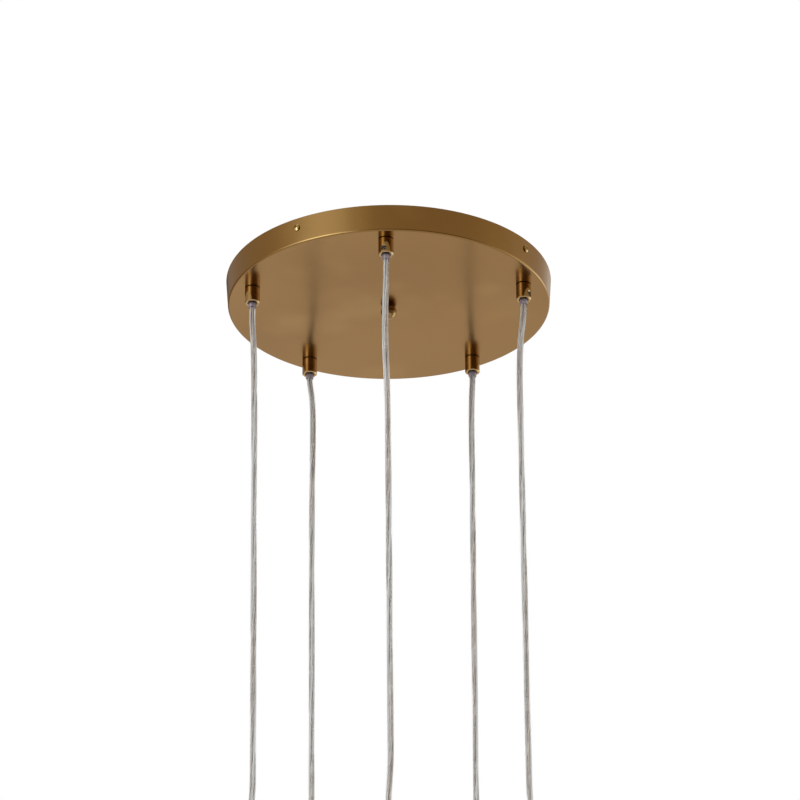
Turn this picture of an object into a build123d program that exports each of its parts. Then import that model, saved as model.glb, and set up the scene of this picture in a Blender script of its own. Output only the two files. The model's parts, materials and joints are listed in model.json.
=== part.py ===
from build123d import *
import math
import os

# A cluster pendant: a round brass canopy on a cross-shaped ceiling bracket, with five
# clear cords that hang from turned cord grips and end in lampholders.
# Millimetres. The origin is the centre of the ceiling plane, +Z is up, and the side that
# faces the room is -Y. Azimuths are counted from -Y towards +X.

# ---- clearances and small edges shared by several pieces ----
SCREW_PLAY = 0.25          # radial, in a plain hole
RUNNING_PLAY = 0.08        # radial, between a thread and what turns on it
FACE_PLAY = 0.1            # between two faces that turn on each other
CORD_PLAY = 0.35           # radial, in a bore that a cord passes through
PART_GAP = 0.3             # between pieces that nest
TURNED_EDGE = 0.6          # chamfer on a turned or moulded edge
THREAD_END = 0.5           # chamfer at the end of a thread

# ---- canopy ----
CANOPY_R = 175.0           # at the open top edge
CANOPY_DRAFT = 2.0         # how much narrower the rim is at its foot
CANOPY_H = 29.0
SHEET = 1.2
ROLL_R = 2.0               # outside radius of the rolled lower edge

# ---- ceiling bracket ----
BRACKET_T = 2.0
ARM_W = 22.0
ARM_AZIMUTH = 147.5        # one arm; the others follow at 90 degrees
ARM_COUNT = 4
LUG_DROP = 19.0
LUG_W = 16.0
LUG_GAP = 0.5              # between a lug's foot and the inside of the rim
BEND_R = 2.5
DISH_TOP_R = 17.0
DISH_FLOOR_R = 12.0
DISH_DEPTH = 4.0
DISH_LAND = 5.0            # flat ring round the dish
CEILING_BOLT_PCD = 60.0
CEILING_BOLT_R = 2.75

# ---- rim screws ----
RIM_SCREW_R = 2.0
RIM_SCREW_DEPTH = 10.5     # below the ceiling
RIM_SCREW_L = 7.0
RIM_HEAD_R = 3.75
RIM_HEAD_H = 2.0
RIM_HEAD_EDGE = 0.5        # height of the head's plain side
RIM_HEAD_STAND = 0.3       # the flat head stands off the sloping rim
CROSS_SLOT_W = 0.8
CROSS_SLOT_L = 3.6
CROSS_SLOT_DEPTH = 1.2

# ---- centre stud and ball nut ----
STUD_R = 3.0
STUD_HEAD_R = 6.0
STUD_HEAD_H = 2.6
STUD_HEAD_EDGE = 1.4
STUD_ENTRY = 8.0           # length of thread inside the ball nut
STUD_NUT_ACROSS = 10.0
STUD_NUT_H = 5.0
NUT_CROWN = 0.6            # height of the chamfer at a nut's corners
BALL_R = 8.5
BALL_DROP = 5.7            # the ball's centre below the plate

# ---- cords ----
CORD_R = 3.25
LEAD_GAP = 0.8             # between the bush and the cord above it
LEAD_DEPTH = 8.0           # the inner leads' height below the ceiling
ARC_SHARE = 0.45           # share of the shorter run that an arc takes

# ---- cord grips ----
GRIP_COUNT = 5
GRIP_INSET = 23.0          # a grip's axis, in from the canopy's top edge
SLEEVE_R = 8.0
SLEEVE_L = 18.0
SLEEVE_BORE_L = 11.5
BORE_CONE = 1.0            # length of the bore's conical end
LIP_CHAMFER = 0.8
SEAT_CHAMFER = 0.7
NIPPLE_R = 5.0
NIPPLE_L = 10.2            # above the plate's lower face
LOCK_NUT_ACROSS = 14.0
LOCK_NUT_H = 3.0
LOCK_NUT_STEP = 11.0       # each nut is tightened to its own angle
WASHER_R = 8.8
WASHER_T = 0.8

# ---- the bush in a grip's mouth: a bead that rocks in the bore, and a nose ----
BUSH_BORE_PLAY = 0.45      # radial, round the cord
BUSH_WALL = 0.8
BUSH_TAPER = 0.25          # the nose is this much thinner at its mouth
BUSH_OUT = 5.0             # how far the bush stands out of the sleeve
BUSH_IN = 6.0              # how far it goes in
NOSE_L = 3.5               # length of the nose's taper
BEAD_RISE = 0.5            # the bead stands out from the bush
BEAD_PLAY = 0.3            # radial, in the sleeve's bore
BEAD_IN = 2.0              # the bead's centre above the sleeve's mouth
BEAD_BELOW = 1.3
BEAD_ABOVE = 1.6
BUSH_NECK = 0.3            # the part above the bead is this much thinner
CORD_PIVOT_IN = 2.5        # where the cord turns, above the bush's mouth

# ---- the grub screw that clamps each cord ----
GRUB_R = 2.5
GRUB_DROP = 12.5           # its axis below the plate
GRUB_TURN = -18.0          # from radially outward
GRUB_SINK = 1.0            # below the sleeve's surface
GRUB_MOUTH = 1.0           # depth and width of the countersink round it
GRUB_STOP = 0.7            # between its end and the bush
GRUB_SLOT_W = 1.0
GRUB_SLOT_DEPTH = 0.9
GRUB_SLOT_TURN = -55.0
GRUB_SLOT_STEP = 47.0      # each screw is tightened to its own angle

# ---- terminal box, in its own axes: along the arm and across it ----
BOX_AT = 72.0              # its centre's distance from the origin, along the arm
BOX_L = 60.0
BOX_W = 32.0
BOX_H = 15.0
BOX_WALL = 1.6
BOX_CORNER_R = 4.0
COVER_T = 2.0
COVER_LIP = 1.5
COVER_PLAY = 0.2
BLOCK_L = 24.0
BLOCK_W = 12.0
BLOCK_H = 8.0
POLES = (-1, 0, 1)
POLE_PITCH = 8.0
POLE_ROW = 3.2             # a clamp screw's distance from the block's middle
WIRE_MOUTH_R = 1.5
CLAMP_R = 1.5
CLAMP_L = 2.2
CLAMP_SINK = 0.3
CLAMP_SLOT_W = 0.5
CLAMP_WELL = 3.0
LEAD_END_IN = 4.0          # a lead's end inside the box's wall
BOX_SCREW_AT = 17.5        # along the box, from its middle
M3_R = 1.5
M3_HEAD_R = 2.8
M3_HEAD_H = 2.0
M3_SHANK = 2.7
M3_SLOT_W = 0.8
M3_SEAT = 0.8              # roof left under a screw's head

# ---- earth lead ----
EARTH_AT = 44.0            # the earth screw's distance from the origin
EARTH_WIRE_R = 1.2
EARTH_TAG_R = 4.0
EARTH_TAG_T = 0.8
EARTH_LAP = 0.3            # the crimp holds the wire this deep in the tag
EARTH_EXIT_DEPTH = 7.0
EARTH_IN_BOX = 3.0
EARTH_RUN_OUT = 10.0       # out of the box before it turns
EARTH_LAND = 7.0           # its straight end over the tag

# ---- lampholders ----
HOLDER_TOP = 670.0         # below the ceiling
COLLAR_R = 8.0
COLLAR_L = 9.0
CAP_R = 20.0
CAP_H = 27.0
CAP_WALL = 1.2
NECK_FLARE = 2.5
NECK_DROP = 0.6
NECK_R = 1.5
SHOULDER_DROP = 4.5
CAP_SHOULDER_R = 7.2
CORD_IN_CAP = 12.0         # the cord's end, below the collar's top
CORE_R = 19.0
CORE_LIP_R = 20.5
CORE_LIP_H = 3.0
CORE_H = 32.0
CORE_SPIGOT_H = 4.0
CORE_SPIGOT_WALL = 2.4
CORE_GROOVES = 4
GROOVE_DEPTH = 0.8
GROOVE_PITCH = 4.0
SOCKET_R = 13.3            # inside the screw shell
SOCKET_DEPTH = 27.0
SHELL_WALL = 0.6
SHELL_L = 22.0
SHELL_RECESS = 3.0         # from the core's mouth up to the shell
SHELL_STEP = 2.4           # the shell's inward step at its top
SHELL_PLAY = 0.1
CONTACT_R = 4.0
CONTACT_T = 0.6
CONTACT_STEM_R = 2.0
CONTACT_STEM_H = 1.4
CONTACT_TAIL = 1.5         # the stem's end above the core

# ---- heights and radii that follow ----
PLATE = -CANOPY_H
CANOPY_FOOT_R = CANOPY_R - CANOPY_DRAFT
GRIP_CIRCLE_R = CANOPY_R - GRIP_INSET
BUSH_R = CORD_R + BUSH_BORE_PLAY + BUSH_WALL
BUSH_TOP_R = BUSH_R - BUSH_NECK
BEAD_R = BUSH_R + BEAD_RISE
SLEEVE_BORE_R = BEAD_R + BEAD_PLAY
SLEEVE_END = PLATE - SLEEVE_L
BUSH_END = SLEEVE_END - BUSH_OUT
BUSH_TOP = SLEEVE_END + BUSH_IN
BUSH_PIVOT = SLEEVE_END + BEAD_IN
CORD_PIVOT = BUSH_END + CORD_PIVOT_IN
GRUB_L = SLEEVE_R - GRUB_SINK - BUSH_TOP_R - GRUB_STOP
LEAD_Z = -LEAD_DEPTH
CAP_LOW = -CAP_H
CORE_TOP = CAP_LOW - PART_GAP
CORE_LOW = CORE_TOP - CORE_H
SOCKET_FLOOR = CORE_LOW + SOCKET_DEPTH

# The free cords' routes, from the cord's pivot down to the inside of the lampholder's
# cap: sideways, towards the back, and below the plate. The long stretch hangs straight.
START_DROP = PLATE - CORD_PIVOT
END_DROP = HOLDER_TOP - CANOPY_H + CORD_IN_CAP
CORD_BENDS = [
    [(0.1, -0.2, 44), (-1.3, 0.4, 84), (-1.4, 0.1, 126), (1.0, -0.5, 184),
     (1.3, -0.2, 238), (2.3, 0.4, 596), (0.2, -0.1, 633)],
    [(-1.3, 0.3, 38), (-4.0, 0.9, 62), (-6.1, 0.4, 104), (-5.8, -0.3, 168),
     (-4.0, 0.3, 590), (-0.3, 0.2, 632)],
    [(-0.9, 0.2, 40), (-1.9, -0.5, 78), (-1.6, 0.4, 138), (-1.9, 0.2, 214),
     (-2.3, -0.3, 594), (-0.2, 0.1, 631)],
    [(1.2, 0.3, 36), (3.2, 0.6, 62), (3.7, -0.3, 112), (3.0, -0.6, 176),
     (3.5, 0.3, 592), (0.3, -0.2, 630)],
    [(-0.3, 0.2, 40), (2.0, -0.4, 70), (3.0, 0.3, 112), (3.4, 0.5, 196),
     (5.4, -0.3, 588), (0.4, 0.2, 633)],
]

# The inner leads' corners at their own height, in the box's axes, from the box's entry
# outwards. The entry is on the wall: its place along the box, and the wall's side.
LEAD_ENTRIES = [(-14.0, 1), (10.0, 1), (BOX_L / 2, 0), (10.0, -1), (-14.0, -1)]
LEAD_BENDS = [
    [(-14.0, 40.0), (-52.0, 64.0), (-140.0, 56.0)],
    [(10.0, 42.0), (-22.0, 88.0)],
    [(54.0, 0.0)],
    [(10.0, -44.0)],
    [(-14.0, -40.0), (-44.0, -66.0), (-100.0, -76.0)],
]


# ---- helpers ----
def save(name, shape):
    """Writes one node."""
    solids = shape if isinstance(shape, list) else shape.solids()
    node = solids[0] if len(solids) == 1 else Compound(children=list(solids))
    export_step(node, f"parts/{name}.step")


def turned(*corners):
    """A body of revolution about Z, from its half outline's corners (radius, height)."""
    return revolve(make_face(Polyline([(r, 0, z) for r, z in corners], close=True)), Axis.Z)


def ring(inner, outer, low, high):
    """A plain tube about Z."""
    return turned((inner, low), (outer, low), (outer, high), (inner, high))


def rod(radius, low, high):
    """A plain rod about Z."""
    return Pos(0, 0, (low + high) / 2) * Cylinder(radius, high - low)


def drill(radius, low, high):
    """A cutter that runs past both ends of a hole."""
    return rod(radius, low - SHEET, high + SHEET)


def outward(azimuth):
    """The level direction at an azimuth."""
    a = math.radians(azimuth)
    return Vector(math.sin(a), -math.cos(a), 0)


def at_azimuth(azimuth, radius=0.0, z=0.0):
    """Turns a shape that faces -Y to an azimuth, and moves it out from the axis."""
    return Rot(0, 0, azimuth) * Pos(0, -radius, z)


def arm_azimuth(k):
    return ARM_AZIMUTH + 360 / ARM_COUNT * k


def grip_azimuth(i):
    return 360 / GRIP_COUNT * i


def at_grip(i, z=0.0):
    """Moves a shape to one grip's axis."""
    place = outward(grip_azimuth(i)) * GRIP_CIRCLE_R
    return Pos(place.X, place.Y, z)


def rim_radius(depth):
    """The rim's outside radius at a depth below the ceiling."""
    return CANOPY_R - CANOPY_DRAFT * depth / CANOPY_H


def tube(points, radius, arcs):
    """A round tube along straight runs joined by arcs; returns it and its length."""
    path = FilletPolyline(*points, radius=arcs)
    start = Plane(origin=path @ 0, z_dir=path % 0)
    return sweep(start * Circle(radius), path=path), path.length


def arc_radii(points, limits=()):
    """For each corner, the radius that uses a set share of its shorter run."""
    vectors = [Vector(*p) for p in points]
    radii = []
    for k in range(1, len(vectors) - 1):
        before = vectors[k] - vectors[k - 1]
        after = vectors[k + 1] - vectors[k]
        half_turn = math.radians(before.get_angle(after)) / 2
        radius = ARC_SHARE * min(before.length, after.length) / math.tan(half_turn)
        radii.append(min([radius, *limits[k - 1:k]]))
    return radii


def report_tube(name, body, length, radii):
    """Prints a cord's length and radii, and its volume against its section times its length."""
    share = body.volume / (math.pi * CORD_R ** 2 * length)
    print(f"{name}: {length:.1f} mm, radii {[round(r) for r in radii]}, volume {share:.4f}")


# ---- canopy ----
def make_canopy():
    """A spun pan with a slightly tapered rim, and holes for the stud, grips and rim screws."""
    wall = SHEET / math.cos(math.atan2(CANOPY_DRAFT, CANOPY_H))
    floor = PLATE + SHEET
    floor_r = rim_radius(-floor) - wall
    outer = FilletPolyline((0, 0, PLATE), (CANOPY_FOOT_R, 0, PLATE), (CANOPY_R, 0, 0), radius=ROLL_R)
    inner = FilletPolyline(
        (0, 0, floor), (floor_r, 0, floor), (CANOPY_R - wall, 0, 0), radius=ROLL_R - SHEET
    )
    edge = Line((CANOPY_R, 0, 0), (CANOPY_R - wall, 0, 0))
    middle = Line((0, 0, PLATE), (0, 0, floor))
    pan = revolve(make_face(outer + edge + inner + middle), Axis.Z)
    pan -= drill(STUD_R + SCREW_PLAY, PLATE, floor)
    for i in range(GRIP_COUNT):
        pan -= at_grip(i) * drill(NIPPLE_R + SCREW_PLAY, PLATE, floor)
    for k in range(ARM_COUNT):
        hole = Rot(90, 0, 0) * drill(RIM_SCREW_R + SCREW_PLAY, -2 * SHEET, 2 * SHEET)
        pan -= at_azimuth(arm_azimuth(k), CANOPY_R, -RIM_SCREW_DEPTH) * hole
    return pan


# ---- ceiling bracket ----
def make_arm():
    """A flat arm along -Y whose end turns down into a narrower, tapped lug."""
    lug_face = rim_radius(LUG_DROP) - SHEET - LUG_GAP
    corner = lug_face - BRACKET_T / 2
    spine = FilletPolyline(
        (0, 0, -BRACKET_T / 2), (0, -corner, -BRACKET_T / 2), (0, -corner, -LUG_DROP), radius=BEND_R
    )
    strip = Plane(origin=spine @ 0, z_dir=spine % 0, x_dir=(1, 0, 0))
    arm = sweep(strip * Rectangle(ARM_W, BRACKET_T), path=spine)
    shoulder = (ARM_W - LUG_W) / 2
    below_bend = Pos(0, -corner, -BRACKET_T - BEND_R - LUG_DROP / 2)
    for side in (-1, 1):
        notch = Box(shoulder, 3 * BRACKET_T, LUG_DROP)
        arm -= below_bend * Pos(side * (LUG_W + shoulder) / 2, 0, 0) * notch
    tapped = Rot(90, 0, 0) * drill(RIM_SCREW_R + RUNNING_PLAY, -BRACKET_T, BRACKET_T)
    arm -= Pos(0, -corner, -RIM_SCREW_DEPTH) * tapped
    return arm - Pos(0, -CEILING_BOLT_PCD / 2, 0) * drill(CEILING_BOLT_R, -BRACKET_T, 0)


def make_bracket():
    """A pressed cross of four arms, with a dish in the middle that takes the stud's head."""
    arm = make_arm()
    cross = at_azimuth(arm_azimuth(0)) * arm
    for k in range(1, ARM_COUNT):
        cross += at_azimuth(arm_azimuth(k)) * arm
    cross += rod(DISH_TOP_R + DISH_LAND, -BRACKET_T, 0)
    cross -= drill(DISH_TOP_R, -BRACKET_T, 0)
    hole_r = STUD_R + SCREW_PLAY
    land_r = DISH_TOP_R + BRACKET_T
    cross += turned(
        (hole_r, -DISH_DEPTH), (DISH_FLOOR_R, -DISH_DEPTH), (DISH_TOP_R - BRACKET_T / 2, 0),
        (land_r, 0), (land_r, -BRACKET_T), (DISH_TOP_R, -BRACKET_T),
        (DISH_FLOOR_R + BRACKET_T / 2, -DISH_DEPTH - BRACKET_T), (hole_r, -DISH_DEPTH - BRACKET_T),
    )
    tapped = drill(M3_R + RUNNING_PLAY, -BRACKET_T, 0)
    for side in (-1, 1):
        cross -= at_azimuth(arm_azimuth(0), BOX_AT + side * BOX_SCREW_AT) * tapped
    return cross - at_azimuth(arm_azimuth(1), EARTH_AT) * tapped


# ---- rim screws ----
def make_rim_screw():
    """A domed cross-slotted screw along -Y, whose head's flat is at the origin."""
    crown_r = 0.6 * RIM_HEAD_R
    crown_z = RIM_HEAD_H - 0.3 * (RIM_HEAD_H - RIM_HEAD_EDGE)
    dome = ThreePointArc((RIM_HEAD_R, 0, RIM_HEAD_EDGE), (crown_r, 0, crown_z), (0, 0, RIM_HEAD_H))
    side = Polyline(
        (0, 0, RIM_HEAD_H), (0, 0, -RIM_SCREW_L), (RIM_SCREW_R, 0, -RIM_SCREW_L),
        (RIM_SCREW_R, 0, 0), (RIM_HEAD_R, 0, 0), (RIM_HEAD_R, 0, RIM_HEAD_EDGE),
    )
    screw = revolve(make_face(dome + side), Axis.Z)
    for turn in (0, 90):
        slot = Box(CROSS_SLOT_W, CROSS_SLOT_L, 2 * CROSS_SLOT_DEPTH)
        screw -= Pos(0, 0, RIM_HEAD_H) * Rot(0, 0, turn) * slot
    return Rot(90, 0, 0) * screw


def make_rim_screws():
    seat = rim_radius(RIM_SCREW_DEPTH) + RIM_HEAD_STAND
    return [at_azimuth(arm_azimuth(k), seat, -RIM_SCREW_DEPTH) * make_rim_screw() for k in range(ARM_COUNT)]


# ---- centre stud, its nut and the ball nut ----
def hex_nut(across, height, hole_r, low):
    """A hexagon nut about Z with chamfered corners."""
    high = low + height
    flat_r = across / 2
    corner_r = across / math.sqrt(3)
    blank = Pos(0, 0, low) * extrude(RegularPolygon(flat_r, 6, major_radius=False), height)
    crown = turned(
        (0, low), (flat_r, low), (corner_r, low + NUT_CROWN), (corner_r, high - NUT_CROWN),
        (flat_r, high), (0, high),
    )
    return (blank & crown) - drill(hole_r, low, high)


def make_stud():
    """A bolt whose head lies in the bracket's dish and whose end holds the ball nut."""
    seat = -DISH_DEPTH
    top = seat + STUD_HEAD_H
    end = PLATE - STUD_ENTRY
    return turned(
        (0, top), (STUD_HEAD_R - TURNED_EDGE, top), (STUD_HEAD_R, seat + STUD_HEAD_EDGE),
        (STUD_HEAD_R, seat), (STUD_R, seat), (STUD_R, end + THREAD_END), (STUD_R - THREAD_END, end),
        (0, end),
    )


def make_stud_nut():
    high = -DISH_DEPTH - BRACKET_T
    return hex_nut(STUD_NUT_ACROSS, STUD_NUT_H, STUD_R + RUNNING_PLAY, high - STUD_NUT_H)


def make_ball_nut():
    """A ball with a flat where it meets the plate, and a blind thread."""
    ball = Pos(0, 0, PLATE - BALL_DROP) * Sphere(BALL_R)
    above = Pos(0, 0, PLATE - FACE_PLAY + BALL_R) * Box(2 * BALL_R, 2 * BALL_R, 2 * BALL_R)
    thread_end = PLATE - STUD_ENTRY - TURNED_EDGE
    return ball - above - rod(STUD_R + RUNNING_PLAY, thread_end, PLATE)


# ---- cord grips ----
def grub_frame():
    """The point where the grub screw's axis leaves the sleeve, with Z along the screw."""
    return Rot(0, 0, GRUB_TURN) * Pos(0, -SLEEVE_R, PLATE - GRUB_DROP) * Rot(90, 0, 0)


def place_grip(i):
    return at_grip(i) * Rot(0, 0, grip_azimuth(i))


def make_sleeve(i):
    """A turned sleeve with a lipped mouth, its nipple, and the grub screw's sunk thread."""
    cord_bore = CORD_R + CORD_PLAY
    shoulder = SLEEVE_END + SLEEVE_BORE_L
    top = PLATE + NIPPLE_L
    sleeve = turned(
        (cord_bore, shoulder + BORE_CONE), (SLEEVE_BORE_R, shoulder), (SLEEVE_BORE_R, SLEEVE_END),
        (SLEEVE_R - LIP_CHAMFER, SLEEVE_END), (SLEEVE_R, SLEEVE_END + LIP_CHAMFER),
        (SLEEVE_R, PLATE - SEAT_CHAMFER), (SLEEVE_R - SEAT_CHAMFER, PLATE), (NIPPLE_R, PLATE),
        (NIPPLE_R, top - THREAD_END), (NIPPLE_R - THREAD_END, top), (cord_bore, top),
    )
    hole_r = GRUB_R + RUNNING_PLAY
    sleeve -= grub_frame() * drill(hole_r, SLEEVE_BORE_R - SLEEVE_R, 0)
    rise = GRUB_MOUTH + SHEET
    mouth = Cone(hole_r, hole_r + rise, rise)
    sleeve -= grub_frame() * Pos(0, 0, rise / 2 - GRUB_MOUTH) * mouth
    return place_grip(i) * sleeve


def make_grub(i):
    """A slotted grub screw, just below the sleeve's surface."""
    turn = GRUB_SLOT_TURN + i * GRUB_SLOT_STEP
    slot = Rot(0, 0, turn) * Box(GRUB_SLOT_W, 3 * GRUB_R, 2 * GRUB_SLOT_DEPTH)
    grub = rod(GRUB_R, -GRUB_SINK - GRUB_L, -GRUB_SINK) - Pos(0, 0, -GRUB_SINK) * slot
    return place_grip(i) * grub_frame() * grub


def make_bush(i):
    """A translucent bush: a bead that rocks in the sleeve, and a nose round the cord."""
    bore = CORD_R + BUSH_BORE_PLAY
    nose_r = BUSH_R - BUSH_TAPER
    foot = (BUSH_R, 0, BUSH_PIVOT - BEAD_BELOW)
    head = (BUSH_TOP_R, 0, BUSH_PIVOT + BEAD_ABOVE)
    bead = ThreePointArc(foot, (BEAD_R, 0, BUSH_PIVOT), head)
    rest = Polyline(
        head, (BUSH_TOP_R, 0, BUSH_TOP), (bore, 0, BUSH_TOP), (bore, 0, BUSH_END),
        (nose_r - BUSH_TAPER, 0, BUSH_END), (nose_r, 0, BUSH_END + THREAD_END),
        (BUSH_R, 0, BUSH_END + NOSE_L), foot,
    )
    return at_grip(i) * revolve(make_face(bead + rest), Axis.Z)


def make_lock_nut(i):
    low = PLATE + SHEET + WASHER_T
    nut = hex_nut(LOCK_NUT_ACROSS, LOCK_NUT_H, NIPPLE_R + RUNNING_PLAY, low)
    return at_grip(i) * Rot(0, 0, LOCK_NUT_STEP * i) * nut


def make_washer(i):
    low = PLATE + SHEET
    return at_grip(i) * ring(NIPPLE_R + SCREW_PLAY, WASHER_R, low, low + WASHER_T)


# ---- cords ----
def make_cord(i):
    """A free cord: it turns on a rounded end in the bush and ends inside the lampholder's cap."""
    axis = at_grip(i).position
    bends = [(0, 0, START_DROP), *CORD_BENDS[i], (0, 0, END_DROP)]
    points = [(axis.X + dx, axis.Y + dy, PLATE - drop) for dx, dy, drop in bends]
    radii = arc_radii(points)
    body, length = tube(points, CORD_R, radii)
    body += at_grip(i, CORD_PIVOT) * Sphere(CORD_R)
    report_tube(f"cord_{i + 1}", body, length, radii)
    return body


def box_frame():
    """The terminal box's axes: X along the arm, origin at its centre under the arm."""
    along = outward(ARM_AZIMUTH)
    origin = along * BOX_AT + Vector(0, 0, -BRACKET_T)
    return Plane(origin=origin, x_dir=along, z_dir=(0, 0, 1))


def at_lead_height(along, across):
    """A point at the leads' height, from its place along the box and across it."""
    return tuple(box_frame().from_local_coords(Vector(along, -across, BRACKET_T + LEAD_Z)))


def make_lead(i):
    """A cord's upper end: up through the nipple and across to the terminal box."""
    axis = at_grip(i).position
    along, side = LEAD_ENTRIES[i]
    reach = BOX_WALL + LEAD_END_IN
    end = (along, side * (BOX_W / 2 - reach)) if side else (along - reach, 0.0)
    foot = (axis.X, axis.Y, BUSH_TOP + LEAD_GAP)
    corner = (axis.X, axis.Y, LEAD_Z)
    bends = [at_lead_height(*p) for p in reversed(LEAD_BENDS[i])]
    points = [foot, corner, *bends, at_lead_height(*end)]
    above_nipple = LEAD_Z - (PLATE + NIPPLE_L) - PART_GAP
    radii = arc_radii(points, [above_nipple])
    body, length = tube(points, CORD_R, radii)
    report_tube(f"inner_lead_{i + 1}", body, length, radii)
    return body


# ---- terminal box ----
def rounded_block(length, width, corner, low, high):
    """An upright block with rounded corners, in the box's axes."""
    return Pos(0, 0, low) * extrude(RectangleRounded(length, width, corner), high - low)


def make_box_base():
    """The box's roof and walls, with a hole for each lead, the earth wire and two screws."""
    shell = rounded_block(BOX_L, BOX_W, BOX_CORNER_R, -BOX_H, 0)
    shell -= rounded_block(
        BOX_L - 2 * BOX_WALL, BOX_W - 2 * BOX_WALL, BOX_CORNER_R - BOX_WALL, -BOX_H - BOX_WALL, -BOX_WALL
    )
    for along, side in LEAD_ENTRIES:
        hole = Cylinder(CORD_R + SCREW_PLAY, 4 * BOX_WALL)
        turn = Rot(90, 0, 0) if side else Rot(0, 90, 0)
        shell -= Pos(along, -side * BOX_W / 2, BRACKET_T + LEAD_Z) * turn * hole
    wire = Rot(0, 90, 0) * Cylinder(EARTH_WIRE_R + SCREW_PLAY, 4 * BOX_WALL)
    shell -= Pos(-BOX_L / 2, 0, BRACKET_T - EARTH_EXIT_DEPTH) * wire
    for side in (-1, 1):
        spot = Pos(side * BOX_SCREW_AT, 0, 0)
        shell -= spot * drill(M3_R + SCREW_PLAY, -BOX_WALL, 0)
        shell -= spot * rod(M3_HEAD_R + SCREW_PLAY, -2 * BOX_WALL, -M3_SEAT)
    return box_frame() * shell


def make_box_cover():
    """A flat lid with a lip that fits inside the walls."""
    play = BOX_WALL + COVER_PLAY
    lip_l = BOX_L - 2 * play
    lip_w = BOX_W - 2 * play
    lip_top = -BOX_H + COVER_LIP
    cover = rounded_block(BOX_L, BOX_W, BOX_CORNER_R, -BOX_H - COVER_T, -BOX_H)
    cover += rounded_block(lip_l, lip_w, BOX_CORNER_R - play, -BOX_H - COVER_T / 2, lip_top)
    inner_r = (BOX_CORNER_R - play) / 2
    cover -= rounded_block(lip_l - 2 * BOX_WALL, lip_w - 2 * BOX_WALL, inner_r, -BOX_H, lip_top + COVER_LIP)
    return box_frame() * cover


def clamp_spots():
    return [(pole * POLE_PITCH, side * POLE_ROW) for pole in POLES for side in (-1, 1)]


def make_terminal_block():
    """A three-pole block under the box's roof, with wire mouths and screw wells."""
    bottom = -BOX_WALL - BLOCK_H
    block = Pos(0, 0, bottom + BLOCK_H / 2) * Box(BLOCK_L, BLOCK_W, BLOCK_H)
    mouth_z = bottom + CLAMP_WELL + WIRE_MOUTH_R
    for pole in POLES:
        block -= Pos(pole * POLE_PITCH, 0, mouth_z) * Rot(90, 0, 0) * Cylinder(WIRE_MOUTH_R, 2 * BLOCK_W)
    for x, y in clamp_spots():
        block -= Pos(x, y, 0) * rod(CLAMP_R + SCREW_PLAY, bottom - CLAMP_WELL, bottom + CLAMP_WELL)
    return box_frame() * block


def make_clamp_screws():
    """Six small slotted screws in the block's wells."""
    low = -BOX_WALL - BLOCK_H + CLAMP_SINK
    screw = rod(CLAMP_R, low, low + CLAMP_L) - Pos(0, 0, low) * Box(CLAMP_SLOT_W, 3 * CLAMP_R, CLAMP_L / 2)
    return [box_frame() * Pos(x, y, 0) * screw for x, y in clamp_spots()]


def m3_screw(face):
    """A slotted cheese-head screw whose head hangs below a face."""
    low = face - M3_HEAD_H
    screw = rod(M3_HEAD_R, low, face) + rod(M3_R, face - M3_HEAD_H / 2, face + M3_SHANK)
    return screw - Pos(0, 0, low) * Box(M3_SLOT_W, 3 * M3_HEAD_R, M3_HEAD_H)


def make_bracket_screws():
    """Two screws through the box's roof and one through the earth tag, all alike."""
    in_box = [
        at_azimuth(arm_azimuth(0), BOX_AT + side * BOX_SCREW_AT) * m3_screw(-BRACKET_T - M3_SEAT)
        for side in (-1, 1)
    ]
    return in_box + [at_azimuth(arm_azimuth(1), EARTH_AT) * m3_screw(-BRACKET_T - EARTH_TAG_T)]


def make_earth_lead():
    """A single wire from the box to a ring tag under the bracket's next arm."""
    along = outward(arm_azimuth(0))
    box_end = BOX_AT - BOX_L / 2
    exit_height = Vector(0, 0, -EARTH_EXIT_DEPTH)
    start = along * (box_end + BOX_WALL + EARTH_IN_BOX) + exit_height
    turn = along * (box_end - EARTH_RUN_OUT) + exit_height
    tag_bottom = -BRACKET_T - EARTH_TAG_T
    tag_centre = outward(arm_azimuth(1)) * EARTH_AT
    level = (tag_centre - Vector(turn.X, turn.Y, 0)).normalized()
    wire_height = Vector(0, 0, tag_bottom - EARTH_WIRE_R + EARTH_LAP)
    end = tag_centre - level * (EARTH_TAG_R - TURNED_EDGE) + wire_height
    points = [tuple(p) for p in (start, turn, end - level * EARTH_LAND, end)]
    wire, _ = tube(points, EARTH_WIRE_R, arc_radii(points))
    tag = ring(M3_R + SCREW_PLAY, EARTH_TAG_R, tag_bottom, -BRACKET_T)
    return wire + Pos(tag_centre.X, tag_centre.Y, 0) * tag


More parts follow.
